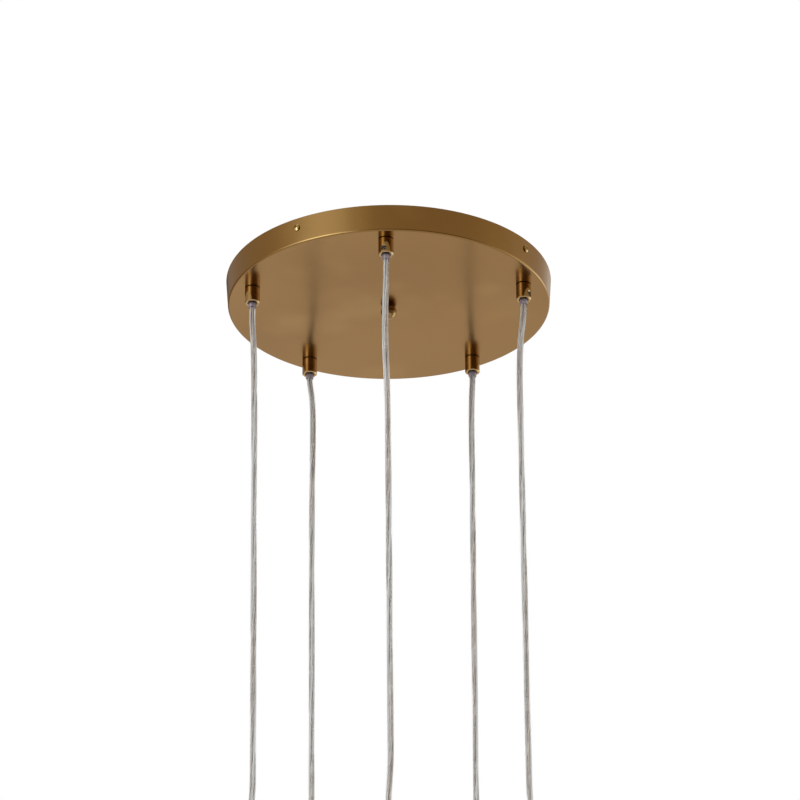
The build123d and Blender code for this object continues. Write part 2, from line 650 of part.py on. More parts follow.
# ---- lampholders ----
def make_holder_cap():
    """A spun brass cup with a collar for the cord."""
    neck = COLLAR_R + NECK_FLARE
    neck_z = -COLLAR_L - NECK_DROP
    shoulder_z = -COLLAR_L - SHOULDER_DROP
    flank = FilletPolyline(
        (COLLAR_R, 0, -COLLAR_L), (neck, 0, neck_z), (CAP_R, 0, shoulder_z), (CAP_R, 0, CAP_LOW),
        radius=[NECK_R, CAP_SHOULDER_R],
    )
    back = Polyline(
        (CAP_R, 0, CAP_LOW), (0, 0, CAP_LOW), (0, 0, 0), (COLLAR_R - TURNED_EDGE, 0, 0),
        (COLLAR_R, 0, -TURNED_EDGE), (COLLAR_R, 0, -COLLAR_L),
    )
    cap = revolve(make_face(flank + back), Axis.Z)
    inner_r = CAP_R - CAP_WALL
    roof = neck_z - CAP_WALL
    mouth = CAP_LOW - CAP_WALL
    inside = FilletPolyline(
        (0, 0, roof), (neck - CAP_WALL, 0, roof), (inner_r, 0, shoulder_z - CAP_WALL), (inner_r, 0, mouth),
        radius=[NECK_R, CAP_SHOULDER_R - CAP_WALL],
    )
    cap -= revolve(make_face(inside + Polyline((inner_r, 0, mouth), (0, 0, mouth), (0, 0, roof))), Axis.Z)
    return cap - rod(CORD_R + CORD_PLAY, roof - CAP_WALL, CAP_WALL)


def make_holder_core():
    """The moulded body: a spigot in the cap, a grooved skirt, a lip, and the socket."""
    spigot_r = CAP_R - CAP_WALL - PART_GAP
    spigot_inner_r = spigot_r - CORE_SPIGOT_WALL
    cavity_r = SOCKET_R + SHELL_WALL + SHELL_PLAY
    stem_bore = CONTACT_STEM_R + SHELL_PLAY
    skirt = CORE_LOW + CORE_LIP_H + TURNED_EDGE
    outline = [
        (stem_bore, SOCKET_FLOOR), (cavity_r, SOCKET_FLOOR), (cavity_r, CORE_LOW + TURNED_EDGE),
        (cavity_r + TURNED_EDGE, CORE_LOW), (CORE_LIP_R - TURNED_EDGE, CORE_LOW),
        (CORE_LIP_R, CORE_LOW + TURNED_EDGE), (CORE_LIP_R, CORE_LOW + CORE_LIP_H), (CORE_R, skirt),
    ]
    for k in range(CORE_GROOVES):
        z = skirt + GROOVE_PITCH * (k + 0.5)
        outline += [(CORE_R, z), (CORE_R - GROOVE_DEPTH, z + GROOVE_DEPTH), (CORE_R, z + 2 * GROOVE_DEPTH)]
    spigot_top = CORE_TOP + CORE_SPIGOT_H
    outline += [
        (CORE_R, CORE_TOP), (spigot_r, CORE_TOP), (spigot_r, spigot_top), (spigot_inner_r, spigot_top),
        (spigot_inner_r, CORE_TOP), (stem_bore, CORE_TOP),
    ]
    return turned(*outline)


def make_holder_shell():
    """The screw shell: a thin tube with an inward step at its top."""
    low = CORE_LOW + SHELL_RECESS
    high = low + SHELL_L
    outer_r = SOCKET_R + SHELL_WALL
    step_r = SOCKET_R - SHELL_STEP
    return turned(
        (SOCKET_R, low), (outer_r, low), (outer_r, high), (step_r, high), (step_r, high - SHELL_WALL),
        (SOCKET_R, high - SHELL_WALL),
    )


def make_holder_contact():
    """The centre contact: a button on a stem that passes through the moulded body."""
    button_top = SOCKET_FLOOR - CONTACT_STEM_H
    button = button_top - CONTACT_T
    tail = CORE_TOP + CONTACT_TAIL
    return turned(
        (0, button), (CONTACT_R - TURNED_EDGE, button), (CONTACT_R, button_top),
        (CONTACT_STEM_R, button_top), (CONTACT_STEM_R, tail), (0, tail),
    )


# ---- write every node ----
os.makedirs("parts", exist_ok=True)
save("canopy", make_canopy())
save("ceiling_bracket", make_bracket())
save("rim_screws", make_rim_screws())
save("centre_stud", make_stud())
save("stud_nut", make_stud_nut())
save("ball_nut", make_ball_nut())
save("grip_lock_nuts", [make_lock_nut(i) for i in range(GRIP_COUNT)])
save("grip_washers", [make_washer(i) for i in range(GRIP_COUNT)])
save("terminal_box_base", make_box_base())
save("terminal_box_cover", make_box_cover())
save("terminal_block", make_terminal_block())
save("terminal_clamp_screws", make_clamp_screws())
save("bracket_screws", make_bracket_screws())
save("earth_lead", make_earth_lead())
for i in range(GRIP_COUNT):
    n = i + 1
    save(f"grip_sleeve_{n}", make_sleeve(i))
    save(f"grip_bush_{n}", make_bush(i))
    save(f"grub_screw_{n}", make_grub(i))
    save(f"inner_lead_{n}", make_lead(i))
    save(f"cord_{n}", make_cord(i))
    holder = at_grip(i, -HOLDER_TOP)
    save(f"holder_cap_{n}", holder * make_holder_cap())
    save(f"holder_core_{n}", holder * make_holder_core())
    save(f"holder_shell_{n}", holder * make_holder_shell())
    save(f"holder_contact_{n}", holder * make_holder_contact())
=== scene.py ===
# %% [markdown]
# # A cluster pendant of brass and clear cord
# The real object is a round brass canopy that screws up to the ceiling. Five turned cord grips
# stand round the edge of its plate, and a clear cord with silvery conductors hangs from each,
# down to a lampholder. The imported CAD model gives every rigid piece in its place, so this
# lesson loads it first and keeps it as it is: it adds the camera, the cords, the finishes and
# the studio, and it rebuilds the few pieces whose fine form a closer look asks for.

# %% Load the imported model
import json
import math

import bmesh
import bpy
from mathutils import Matrix, Vector


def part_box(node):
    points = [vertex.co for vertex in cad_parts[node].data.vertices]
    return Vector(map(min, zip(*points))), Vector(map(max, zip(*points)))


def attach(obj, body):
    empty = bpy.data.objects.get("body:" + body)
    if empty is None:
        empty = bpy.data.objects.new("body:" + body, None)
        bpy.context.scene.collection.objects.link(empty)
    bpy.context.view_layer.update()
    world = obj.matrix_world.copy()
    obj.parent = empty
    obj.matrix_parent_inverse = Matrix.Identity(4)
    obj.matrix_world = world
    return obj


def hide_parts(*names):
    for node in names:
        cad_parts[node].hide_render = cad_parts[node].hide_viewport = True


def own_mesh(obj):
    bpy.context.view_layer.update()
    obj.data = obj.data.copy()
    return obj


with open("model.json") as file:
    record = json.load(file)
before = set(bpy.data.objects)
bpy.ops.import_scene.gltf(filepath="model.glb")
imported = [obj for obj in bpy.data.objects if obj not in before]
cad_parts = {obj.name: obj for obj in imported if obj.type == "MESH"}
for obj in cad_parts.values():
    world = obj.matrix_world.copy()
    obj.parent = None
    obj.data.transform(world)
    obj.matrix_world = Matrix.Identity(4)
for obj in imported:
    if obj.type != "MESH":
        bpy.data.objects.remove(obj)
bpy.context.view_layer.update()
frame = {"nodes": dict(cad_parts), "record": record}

NODES = frame["nodes"]
SLOT_OF_NODE = {part["node"]: part["material_slot"] for part in frame["record"]["subparts"]}
GRIPS = range(1, 6)

# %% [markdown]
# ## The camera
# The object was seen from below and from far away, through a long lens, so the round plate
# shows as an ellipse about half as high as it is wide and the cords run nearly parallel. The
# view was worked out from the outline of the canopy and the places of the five grips. Its
# direction is given here as yaw, pitch and roll, and the matrix is built from them.

# %% The camera
CAMERA_PLACE = Vector((0.0761, -4.4509, -2.3611))
CAMERA_YAW = math.radians(-0.832)
CAMERA_PITCH = math.radians(26.510)
CAMERA_ROLL = math.radians(-0.363)
CAMERA_LENS = 210.15


def camera_matrix(place, yaw, pitch, roll):
    ahead = Vector((math.sin(yaw) * math.cos(pitch), math.cos(yaw) * math.cos(pitch), math.sin(pitch)))
    right = ahead.cross(Vector((0, 0, 1))).normalized()
    up = right.cross(ahead)
    side = right * math.cos(roll) + up * math.sin(roll)
    top = up * math.cos(roll) - right * math.sin(roll)
    turn = Matrix((side, top, -ahead)).transposed().to_4x4()
    return Matrix.Translation(place) @ turn


camera_data = bpy.data.cameras.new("camera")
camera_data.lens = CAMERA_LENS
camera_data.sensor_width = 36.0
camera_data.clip_end = 100.0
camera = bpy.data.objects.new("camera", camera_data)
camera.matrix_world = camera_matrix(CAMERA_PLACE, CAMERA_YAW, CAMERA_PITCH, CAMERA_ROLL)
bpy.context.scene.collection.objects.link(camera)
bpy.context.scene.camera = camera
bpy.context.scene.view_settings.view_transform = "Standard"
print("camera", [round(c, 3) for c in camera.location], "lens", CAMERA_LENS)

# %% [markdown]
# ## Helpers for meshes
# Every finished piece sits at the origin with its place in its mesh, as the CAD nodes do. The
# helpers below close a bmesh into an object with outward normals, turn a profile about an
# upright axis as a lathe does, and extrude a ring of edges, which most of the pieces need.

# %% Mesh helpers
MERGE_REACH = 1e-7
VERT, EDGE, FACE = bmesh.types.BMVert, bmesh.types.BMEdge, bmesh.types.BMFace


def finished(name, shape, sharp_angle=35.0):
    """An object from a bmesh: doubles merged, faces outwards, smooth but for its sharp edges."""
    bmesh.ops.remove_doubles(shape, verts=shape.verts, dist=MERGE_REACH)
    bmesh.ops.recalc_face_normals(shape, faces=shape.faces)
    mesh = bpy.data.meshes.new(name)
    shape.to_mesh(mesh)
    shape.free()
    mesh.shade_smooth()
    mesh.set_sharp_from_angle(angle=math.radians(sharp_angle))
    piece = bpy.data.objects.new(name, mesh)
    bpy.context.scene.collection.objects.link(piece)
    return piece


def lathe(shape, profile, centre, steps):
    """Turns a line of (radius, height) points a full round about an upright axis."""
    corners = [shape.verts.new((centre[0] + r, centre[1], z)) for r, z in profile]
    edges = [shape.edges.new(pair) for pair in zip(corners, corners[1:])]
    bmesh.ops.spin(shape, geom=corners + edges, cent=(centre[0], centre[1], 0), axis=(0, 0, 1),
                   angle=math.tau, steps=steps, use_merge=True)


def ring_of(shape, sides, radius, place, filled=False):
    return bmesh.ops.create_circle(shape, cap_ends=filled, segments=sides, radius=radius,
                                   matrix=place)["verts"]


def only(kind, parts):
    """The vertices, edges or faces among an operator's results."""
    return [part for part in parts if isinstance(part, kind)]


def extruded(shape, edges):
    """Extrudes a ring of edges; returns the new ring's corners and edges, and the faces between."""
    new = bmesh.ops.extrude_edge_only(shape, edges=edges)["geom"]
    corners = only(VERT, new)
    known = set(corners)
    return corners, [edge for edge in only(EDGE, new) if set(edge.verts) <= known], only(FACE, new)


def whole(shape):
    return shape.verts[:] + shape.edges[:] + shape.faces[:]


# %% [markdown]
# ## The cords' routes
# Each cord hangs free from its grip to its lampholder. It was wound on a reel once, so it comes
# out of the grip with a slight set and then straightens under the lampholder's weight. The
# points of each route are in metres from the grip's axis and below the plate. A NURBS spline
# through their midst gives the smooth line that everything on the cord follows. On the long
# straight stretch one more point stands near each end, so that the spline doesn't drift off the
# stretch. The last points stand on the axis, because the cord runs straight through the
# lampholder's collar, also where it is drawn up.

# %% The cords' routes
PLATE_Z = -0.029
GRIP_CIRCLE_R = 0.152
CORD_R = 0.00325
CORD_TOP = 0.0205
COLLAR_POINTS = [(0, 0, 0.623), (0, 0, 0.639)]
CORD_END = 0.653
CORD_POINTS = {
    1: [(0.0001, -0.0002, 0.044), (-0.0013, 0.0004, 0.084), (-0.0014, 0.0001, 0.126),
        (0.0010, -0.0005, 0.184), (0.0013, -0.0002, 0.238), (0.00145, -0.0001, 0.292),
        (0.0022, 0.00034, 0.559), (0.0022, 0.0004, 0.588), (0.0010, 0.0002, 0.607)],
    2: [(0, 0, 0.030), (-0.0013, 0.0003, 0.044), (-0.0042, 0.0009, 0.064), (-0.0061, 0.0004, 0.104),
        (-0.0058, -0.0003, 0.168), (-0.0055, -0.0002, 0.232),
        (-0.0042, 0.0002, 0.548), (-0.0040, 0.0003, 0.584), (-0.0015, 0.0001, 0.606)],
    3: [(-0.0001, 0, 0.030), (-0.0010, 0.0002, 0.046), (-0.0019, -0.0005, 0.078),
        (-0.0016, 0.0004, 0.138), (-0.0019, 0.0002, 0.214), (-0.0020, 0.0001, 0.290),
        (-0.0023, -0.00025, 0.557), (-0.0021, -0.0003, 0.588), (-0.0009, -0.0001, 0.607)],
    4: [(0.0003, 0, 0.029), (0.0026, 0.0003, 0.043), (0.0038, 0.0006, 0.063), (0.0037, -0.0003, 0.112),
        (0.0030, -0.0006, 0.176), (0.0031, -0.0005, 0.240),
        (0.0035, 0.0002, 0.554), (0.0033, 0.0003, 0.586), (0.0014, 0.0001, 0.606)],
    5: [(-0.0003, 0.0002, 0.040), (0.0020, -0.0004, 0.070), (0.0030, 0.0003, 0.112),
        (0.0034, 0.0005, 0.196), (0.0038, 0.0003, 0.280),
        (0.0052, -0.0002, 0.543), (0.0050, -0.0003, 0.580), (0.0020, -0.0001, 0.604)],
}


def grip_axis(n, z=0.0):
    azimuth = math.tau * (n - 1) / len(GRIPS)
    return Vector((GRIP_CIRCLE_R * math.sin(azimuth), -GRIP_CIRCLE_R * math.cos(azimuth), z))


def spline_line(points, smoothness=24):
    """The points of a NURBS spline through the midst of these, read from a curve without a bevel."""
    curve = bpy.data.curves.new("route", "CURVE")
    curve.dimensions = "3D"
    curve.resolution_u = smoothness
    spline = curve.splines.new("NURBS")
    spline.points.add(len(points) - 1)
    for knot, point in zip(spline.points, points):
        knot.co = (*point, 1)
    spline.order_u = 3
    spline.use_endpoint_u = True
    route = bpy.data.objects.new("route", curve)
    line_mesh = bpy.data.meshes.new_from_object(route)
    line = [corner.co.copy() for corner in line_mesh.vertices]
    bpy.data.objects.remove(route)
    bpy.data.curves.remove(curve)
    bpy.data.meshes.remove(line_mesh)
    return line


def cord_line(n):
    bends = [(0, 0, CORD_TOP), *CORD_POINTS[n], *COLLAR_POINTS, (0, 0, CORD_END)]
    return spline_line([grip_axis(n) + Vector((x, y, PLATE_Z - below)) for x, y, below in bends])


def line_length(line):
    return sum((b - a).length for a, b in zip(line, line[1:]))


CORD_LINES = {n: cord_line(n) for n in GRIPS}
print("cord lengths", {n: round(line_length(line), 4) for n, line in CORD_LINES.items()})

# %% [markdown]
# ## Walking along a line
# A sheath, a conductor and its strands all follow the same line, so one helper steps along it
# at even distances and gives a frame at each step: where the line is, and two directions across
# it that don't twist. Another helper draws a ring of vertices from frame to frame with the
# extrude operator, and writes a UV map whose u runs round the tube and v along it in metres.

# %% Walking along a line
def frames_along(line, spacing, inset=0.0):
    """(distance, place, across, upward) at even steps, the two directions carried without twist.
    inset is how far from each end of the line the first and the last frame stand."""
    total = line_length(line)
    count = max(2, round((total - 2 * inset) / spacing))
    gaps = [(b - a).length for a, b in zip(line, line[1:])]
    frames = []
    leg, before = 0, 0.0
    across = Vector((1, 0, 0))
    for step in range(count + 1):
        at = inset + (total - 2 * inset) * step / count
        while leg < len(gaps) - 1 and before + gaps[leg] < at:
            before += gaps[leg]
            leg += 1
        share = (at - before) / gaps[leg]
        place = line[leg].lerp(line[leg + 1], share)
        ahead = (line[leg + 1] - line[leg]).normalized()
        across = (across - ahead * across.dot(ahead)).normalized()
        frames.append((at, place, across, ahead.cross(across)))
    return frames


def sweep(shape, frames, section, centre_of=lambda at: (0, 0), turn_of=lambda at: 0):
    """Draws a closed section, a list of (x, y), along the frames. centre_of(at) is where its middle
    lies across the line and turn_of(at) how far it has turned there."""
    layer = shape.loops.layers.uv.verify()
    sides = len(section)

    def ring_at(at, place, across, upward):
        turn = turn_of(at)
        middle = centre_of(at)
        ring = []
        for x, y in section:
            px = middle[0] + x * math.cos(turn) - y * math.sin(turn)
            py = middle[1] + x * math.sin(turn) + y * math.cos(turn)
            ring.append(place + across * px + upward * py)
        return ring

    ring = [shape.verts.new(point) for point in ring_at(*frames[0])]
    edges = [shape.edges.new((ring[k], ring[(k + 1) % sides])) for k in range(sides)]
    shape.faces.new(ring[::-1])
    for before, here in zip(frames, frames[1:]):
        _, edges, faces = extruded(shape, edges)
        follows = {}
        for face in faces:
            for edge in face.edges:
                old = [v for v in edge.verts if v in ring]
                if len(old) == 1:
                    follows[old[0]] = edge.other_vert(old[0])
        ring_next = [follows[corner] for corner in ring]
        for corner, point in zip(ring_next, ring_at(*here)):
            corner.co = point
        number = {corner: k for both in (ring, ring_next) for k, corner in enumerate(both)}
        for face in faces:
            ks = [number[loop.vert] for loop in face.loops]
            wraps = max(ks) == sides - 1 and min(ks) == 0
            for loop, k in zip(face.loops, ks):
                u = (k + sides if wraps and k == 0 else k) / sides
                loop[layer].uv = (u, here[0] if loop.vert in ring_next else before[0])
        ring = ring_next
    shape.faces.new(ring)


def circle(radius, sides):
    return [(radius * math.cos(math.tau * k / sides), radius * math.sin(math.tau * k / sides))
            for k in range(sides)]


# %% [markdown]
# ## The clear sheath, the cores and the strands
# The cord is three-core flex with a clear sheath, 6.5 mm across. Inside lie three cores, each a
# bunch of fine strands in a clear insulation of its own. They run almost straight and turn only
# slowly round each other. A single tube with a picture of wires on it would look flat, because
# clear tubes act as lenses: they widen what lies in them until it fills them, and they let the
# background through at their edges. So the sheath, each insulation and each bunch are real,
# nested pieces. A bunch is a lobed section that twists as it goes along, so its strands are
# form and not only pattern.

# %% Sheaths, cores and strands
SHEATH_SIDES = 24
CORE_COUNT = 3
CORE_R = 0.00110
CORE_SIDES = 16
CORE_INSET = 0.0005            # the cores end just inside the sheath, and the strands inside them
STRANDS_R = 0.00084
STRANDS_INSET = 0.0009
STRAND_COUNT = 8
GROOVE_SHARE = 0.16            # of the bunch's radius
TUBE_STEP, STRAND_STEP = 0.006, 0.003
CORE_CIRCLE_R = 0.00128
# Lengths along the cord in which the cores or a bunch turn once round, or sway once to and fro.
CORE_LAY, STRAND_LAY = 0.42, 0.06
TURN_SWAY_LENGTH, WANDER_LENGTH = 0.37, 0.11
TURN_SWAY = 0.5                # radians
CORE_WANDER = 0.00004
CORD_TURN = 0.37               # of a round, from one cord's cores to the next cord's
CORD_PHASE = 1.7


def lobed_section(radius, lobes, depth):
    """A round section with two points to each lobe: one on its crest, one in the groove."""
    points = []
    for k in range(2 * lobes):
        r = radius if k % 2 == 0 else radius * (1 - depth)
        points.append((r * math.cos(math.pi * k / lobes), r * math.sin(math.pi * k / lobes)))
    return points


def core_centre(n, core):
    """Where a core's middle lies across the cord, as a function of the distance along it."""
    start = math.tau * (core / CORE_COUNT + n * CORD_TURN)

    def centre(at):
        sway = TURN_SWAY * math.sin(math.tau * at / TURN_SWAY_LENGTH + n)
        angle = start + math.tau * at / CORE_LAY + sway
        drift = CORE_WANDER * math.sin(math.tau * at / WANDER_LENGTH + CORD_PHASE * n)
        return (CORE_CIRCLE_R * math.cos(angle) + drift, CORE_CIRCLE_R * math.sin(angle) + drift)
    return centre


def make_tube(name, line, radius, sides, spacing):
    shape = bmesh.new()
    sweep(shape, frames_along(line, spacing), circle(radius, sides))
    return finished(name, shape)


def make_cores(name, line, n):
    shape = bmesh.new()
    frames = frames_along(line, TUBE_STEP, CORE_INSET)
    for core in range(CORE_COUNT):
        sweep(shape, frames, circle(CORE_R, CORE_SIDES), core_centre(n, core))
    return finished(name, shape)


def make_strands(name, line, n, core):
    shape = bmesh.new()
    section = lobed_section(STRANDS_R, STRAND_COUNT, GROOVE_SHARE)
    sweep(shape, frames_along(line, STRAND_STEP, STRANDS_INSET), section, core_centre(n, core),
          lambda at: math.tau * at / STRAND_LAY)
    return finished(name, shape, 80)


def make_cord(kind, n, line, body, replaced, slide=None):
    """A sheath with its three cores in one piece and their three bunches of strands.
    slide is the joint that draws the cord up, where it has one."""
    sheath = make_tube(f"{kind}_sheath_{n}", line, CORD_R, SHEATH_SIDES, TUBE_STEP)
    inside = [make_strands(f"{kind}_strands_{n}_{core + 1}", line, n, core) for core in range(CORE_COUNT)]
    inside.insert(0, make_cores(f"{kind}_cores_{n}", line, n))
    for piece in (sheath, *inside):
        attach(piece, body)
        if slide:
            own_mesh(piece)
    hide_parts(replaced)
    print(kind, n, round(line_length(line), 4), "m")


for n in GRIPS:
    make_cord("cord", n, CORD_LINES[n], f"cord_{n}", f"cord_{n}", f"drop_{n}")

# %% [markdown]
# ## The leads above the plate
# Each cord goes on above its grip: up through the nipple, over the plate in a wide bend, and
# into the terminal box. These leads hide inside the canopy, but from above they are in plain
# sight, so they get the same sheath, cores and strands. Two points keep a lead upright through
# its nipple, and the first one after the turn keeps that bend as round as the cord allows.

# %% The leads above the plate
LEAD_FOOT = -0.0402
NIPPLE_POINT_Z = -0.0300
LEAD_Z = -0.008
# Where each lead runs over the plate. Its first point is above the grip.
LEAD_POINTS = {
    1: [(0.0, -0.152), (0.00391, -0.12832), (0.01069, -0.08744), (0.06472, -0.01752), (0.0649, 0.02742),
        (0.03993, 0.04333)],
    2: [(0.14456, -0.04697), (0.12727, -0.03032), (0.10108, -0.00511), (0.07948, 0.04659),
        (0.05283, 0.06357)],
    3: [(0.08934, 0.12297), (0.0677, 0.10627), (0.0518, 0.0813)],
    4: [(-0.08934, 0.12297), (-0.06636, 0.11578), (0.00695, 0.0928), (0.03529, 0.07475)],
    5: [(-0.14456, -0.04697), (-0.12744, -0.03017), (-0.07914, 0.01722), (-0.04062, 0.05908),
        (-0.00257, 0.07041), (0.02239, 0.0545)],
}

for n in GRIPS:
    foot = grip_axis(n, LEAD_FOOT)
    bends = [(x, y, LEAD_Z) for x, y in LEAD_POINTS[n]]
    line = spline_line([foot, (*LEAD_POINTS[n][0], NIPPLE_POINT_Z), *bends])
    make_cord("lead", n, line, "root", f"inner_lead_{n}")

# %% [markdown]
# ## The earth lead
# A single thin wire bonds the metal to earth. It comes out of the terminal box, and its end is
# crimped in a ring tag under one arm of the bracket. The ring is turned like a washer, and the
# crimped barrel is a short, slightly waisted sleeve swept along the wire's last stretch.

# %% The earth lead
EARTH_POINTS = [(0.02504, 0.0393, -0.007), (0.01719, 0.02699, -0.007), (-0.02673, 0.02428, -0.0037),
                (-0.03372, 0.02385, -0.0037)]
EARTH_LAND = 0.007             # the wire's last straight stretch
EARTH_WIRE_R = 0.0012
TAG_CENTRE = (-0.03711, 0.02364)
TAG_LOW, TAG_HIGH = -0.0028, -0.0020
TAG_R, TAG_HOLE_R = 0.0040, 0.00175
TAG_EDGE = 0.0002
TAG_STEPS = 48
BARREL_L, BARREL_R = 0.0062, 0.00165
WAIST = 0.22                   # of the barrel's length, to each side of its middle
WAIST_PINCH = 0.0012
EARTH_SIDES = 20

earth_line = spline_line(EARTH_POINTS)
earth_wire = make_tube("earth_wire", earth_line, EARTH_WIRE_R, EARTH_SIDES, 0.002)

shape = bmesh.new()
lathe(shape, [(TAG_HOLE_R, TAG_LOW), (TAG_R - TAG_EDGE, TAG_LOW), (TAG_R, TAG_LOW + TAG_EDGE),
              (TAG_R, TAG_HIGH), (TAG_HOLE_R, TAG_HIGH), (TAG_HOLE_R, TAG_LOW)], TAG_CENTRE, TAG_STEPS)
tag_ring = finished("earth_tag_ring", shape)

shape = bmesh.new()
barrel_end, before_end = Vector(EARTH_POINTS[-1]), Vector(EARTH_POINTS[-2])
barrel_line = [barrel_end.lerp(before_end, share * BARREL_L / EARTH_LAND) for share in (1, 0.5, 0)]
sweep(shape, frames_along(barrel_line, 0.0004), circle(BARREL_R, EARTH_SIDES))
for corner in shape.verts:
    middle = abs((corner.co - barrel_end).length / BARREL_L - 0.5)
    if middle < WAIST:
        corner.co.z += (WAIST - middle) * WAIST_PINCH * (1 if corner.co.z < barrel_end.z else -1)
tag_barrel = finished("earth_tag_barrel", shape)

for piece in (earth_wire, tag_ring, tag_barrel):
    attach(piece, "root")
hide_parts("earth_lead")
print("earth lead", round(line_length(earth_line), 4), "m")

# %% [markdown]
# ## The canopy
# The canopy is one spun sheet: a flat plate with holes for the grips and the stud, a small
# rolled edge, and a slightly flared rim with four screw holes. Its plate mirrors the grips and
# its rim draws every light of the room as an upright stripe, so a coarse mesh would show at
# once. Here circles are filled to a plate, its edge is extruded round the roll and up the rim,
# and solidify gives the sheet its thickness. Narrow rings beside the roll keep the plate and
# the rim smooth right up to it. Each screw hole is filled round in one square of the rim, which
# the screw's head covers.

# %% The canopy
RIM_TOP_R = 0.175
RIM_FOOT_R = 0.173
SHEET_T = 0.0012
ROLL_R = 0.002
ROLL_STEPS = 10
ROLL_RING = 0.0008             # width of the narrow rings beside the roll
GRIP_HOLE_R, GRIP_HOLE_SIDES = 0.00525, 32
STUD_HOLE_R, STUD_HOLE_SIDES = 0.00325, 24
RIM_SCREW_HOLE_R, RIM_SCREW_HOLE_SIDES = 0.00225, 16
RIM_SCREW_Z = -0.0105
RIM_SCREW_TURN = 32.5          # the first screw, in degrees from the far side to the right
RIM_SIDES = 192
COLUMN = 360 / RIM_SIDES
RIM_SLOPE = math.atan2(RIM_TOP_R - RIM_FOOT_R, -PLATE_Z)
AT_PLATE = Matrix.Translation((0, 0, PLATE_Z))


def canopy_profile():
    """The plate's edge, the roll and the rim, as (radius, height), with a row of squares at the screws."""
    turn = math.pi / 2 - RIM_SLOPE
    roll_x = RIM_FOOT_R - ROLL_R * math.tan(turn / 2)
    roll_z = PLATE_Z + ROLL_R
    profile = [(roll_x - ROLL_RING, PLATE_Z)]
    for k in range(ROLL_STEPS + 1):
        angle = turn * k / ROLL_STEPS - math.pi / 2
        profile.append((roll_x + ROLL_R * math.cos(angle), roll_z + ROLL_R * math.sin(angle)))
    square = math.radians(COLUMN) * RIM_TOP_R / 2
    for z in (profile[-1][1] + ROLL_RING, RIM_SCREW_Z - square, RIM_SCREW_Z + square, 0.0):
        profile.append((RIM_TOP_R + z * math.tan(RIM_SLOPE), z))
    return profile


def punch_screw_hole(shape, azimuth):
    """Fills a square of the rim round a screw's hole."""
    outward = Vector((math.sin(azimuth), math.cos(azimuth), 0))
    spot = outward * RIM_TOP_R + Vector((0, 0, RIM_SCREW_Z))
    face = min(shape.faces, key=lambda f: (f.calc_center_median() - spot).length)
    centre, edges = face.calc_center_median(), face.edges[:]
    facing = outward * math.cos(RIM_SLOPE) - Vector((0, 0, math.sin(RIM_SLOPE)))
    place = Matrix.Translation(centre) @ facing.to_track_quat("Z", "Y").to_matrix().to_4x4()
    bmesh.ops.delete(shape, geom=[face], context="FACES_ONLY")
    hole = ring_of(shape, RIM_SCREW_HOLE_SIDES, RIM_SCREW_HOLE_R, place)
    edges += list({edge for corner in hole for edge in corner.link_edges})
    bmesh.ops.triangle_fill(shape, use_beauty=True, edges=edges, normal=facing)


def make_canopy():
    shape = bmesh.new()
    profile = canopy_profile()
    half_column = math.radians((math.floor(RIM_SCREW_TURN / COLUMN) + 0.5) * COLUMN - RIM_SCREW_TURN)
    ring_of(shape, RIM_SIDES, profile[0][0], AT_PLATE @ Matrix.Rotation(half_column, 4, "Z"))
    ring = shape.edges[:]
    for n in GRIPS:
        ring_of(shape, GRIP_HOLE_SIDES, GRIP_HOLE_R, Matrix.Translation(grip_axis(n, PLATE_Z)))
    ring_of(shape, STUD_HOLE_SIDES, STUD_HOLE_R, AT_PLATE)
    bmesh.ops.triangle_fill(shape, use_beauty=True, edges=shape.edges[:], normal=(0, 0, -1))
    for (from_r, from_z), (to_r, to_z) in zip(profile, profile[1:]):
        corners, ring, _ = extruded(shape, ring)
        bmesh.ops.scale(shape, vec=(to_r / from_r, to_r / from_r, 1), verts=corners)
        bmesh.ops.translate(shape, vec=(0, 0, to_z - from_z), verts=corners)
    for k in range(4):
        punch_screw_hole(shape, math.radians(RIM_SCREW_TURN + 90 * k))
    bmesh.ops.remove_doubles(shape, verts=shape.verts, dist=MERGE_REACH)
    bmesh.ops.recalc_face_normals(shape, faces=shape.faces)
    if sum(face.normal.z * face.calc_area() for face in shape.faces) > 0:
        bmesh.ops.reverse_faces(shape, faces=shape.faces)
    bmesh.ops.solidify(shape, geom=shape.faces[:], thickness=SHEET_T)
    return finished("canopy_shell", shape, 40)


canopy = make_canopy()
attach(canopy, "root")
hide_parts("canopy")
print("canopy", len(canopy.data.polygons), "faces")

# %% [markdown]
# ## The grub screws
# A small steel screw without a head clamps each bush through the side of its sleeve. From
# outside it shows as a grey disc at the bottom of a countersink, with a dark slot across it.
# The disc is a filled circle that two planes cut along the slot's sides. What lies between them
# is extruded inwards to the slot's floor, and the rim is extruded to the screw's length with a
# cone at its end. The faces in the slot take a second, near-black finish: painted shade in the slot.

# %% The grub screws
SLEEVE_R = 0.008
GRUB_Z = -0.0415
GRUB_TURN = math.radians(-18)
GRUB_R = 0.0025
GRUB_SIDES = 40
GRUB_SINK = 0.0010
GRUB_L = 0.0021
GRUB_EDGE = 0.0005
SLOT_W = 0.0011
SLOT_DEPTH = 0.0009
SLOT_TURN, SLOT_STEP = -55, 47           # degrees, and from one screw to the next


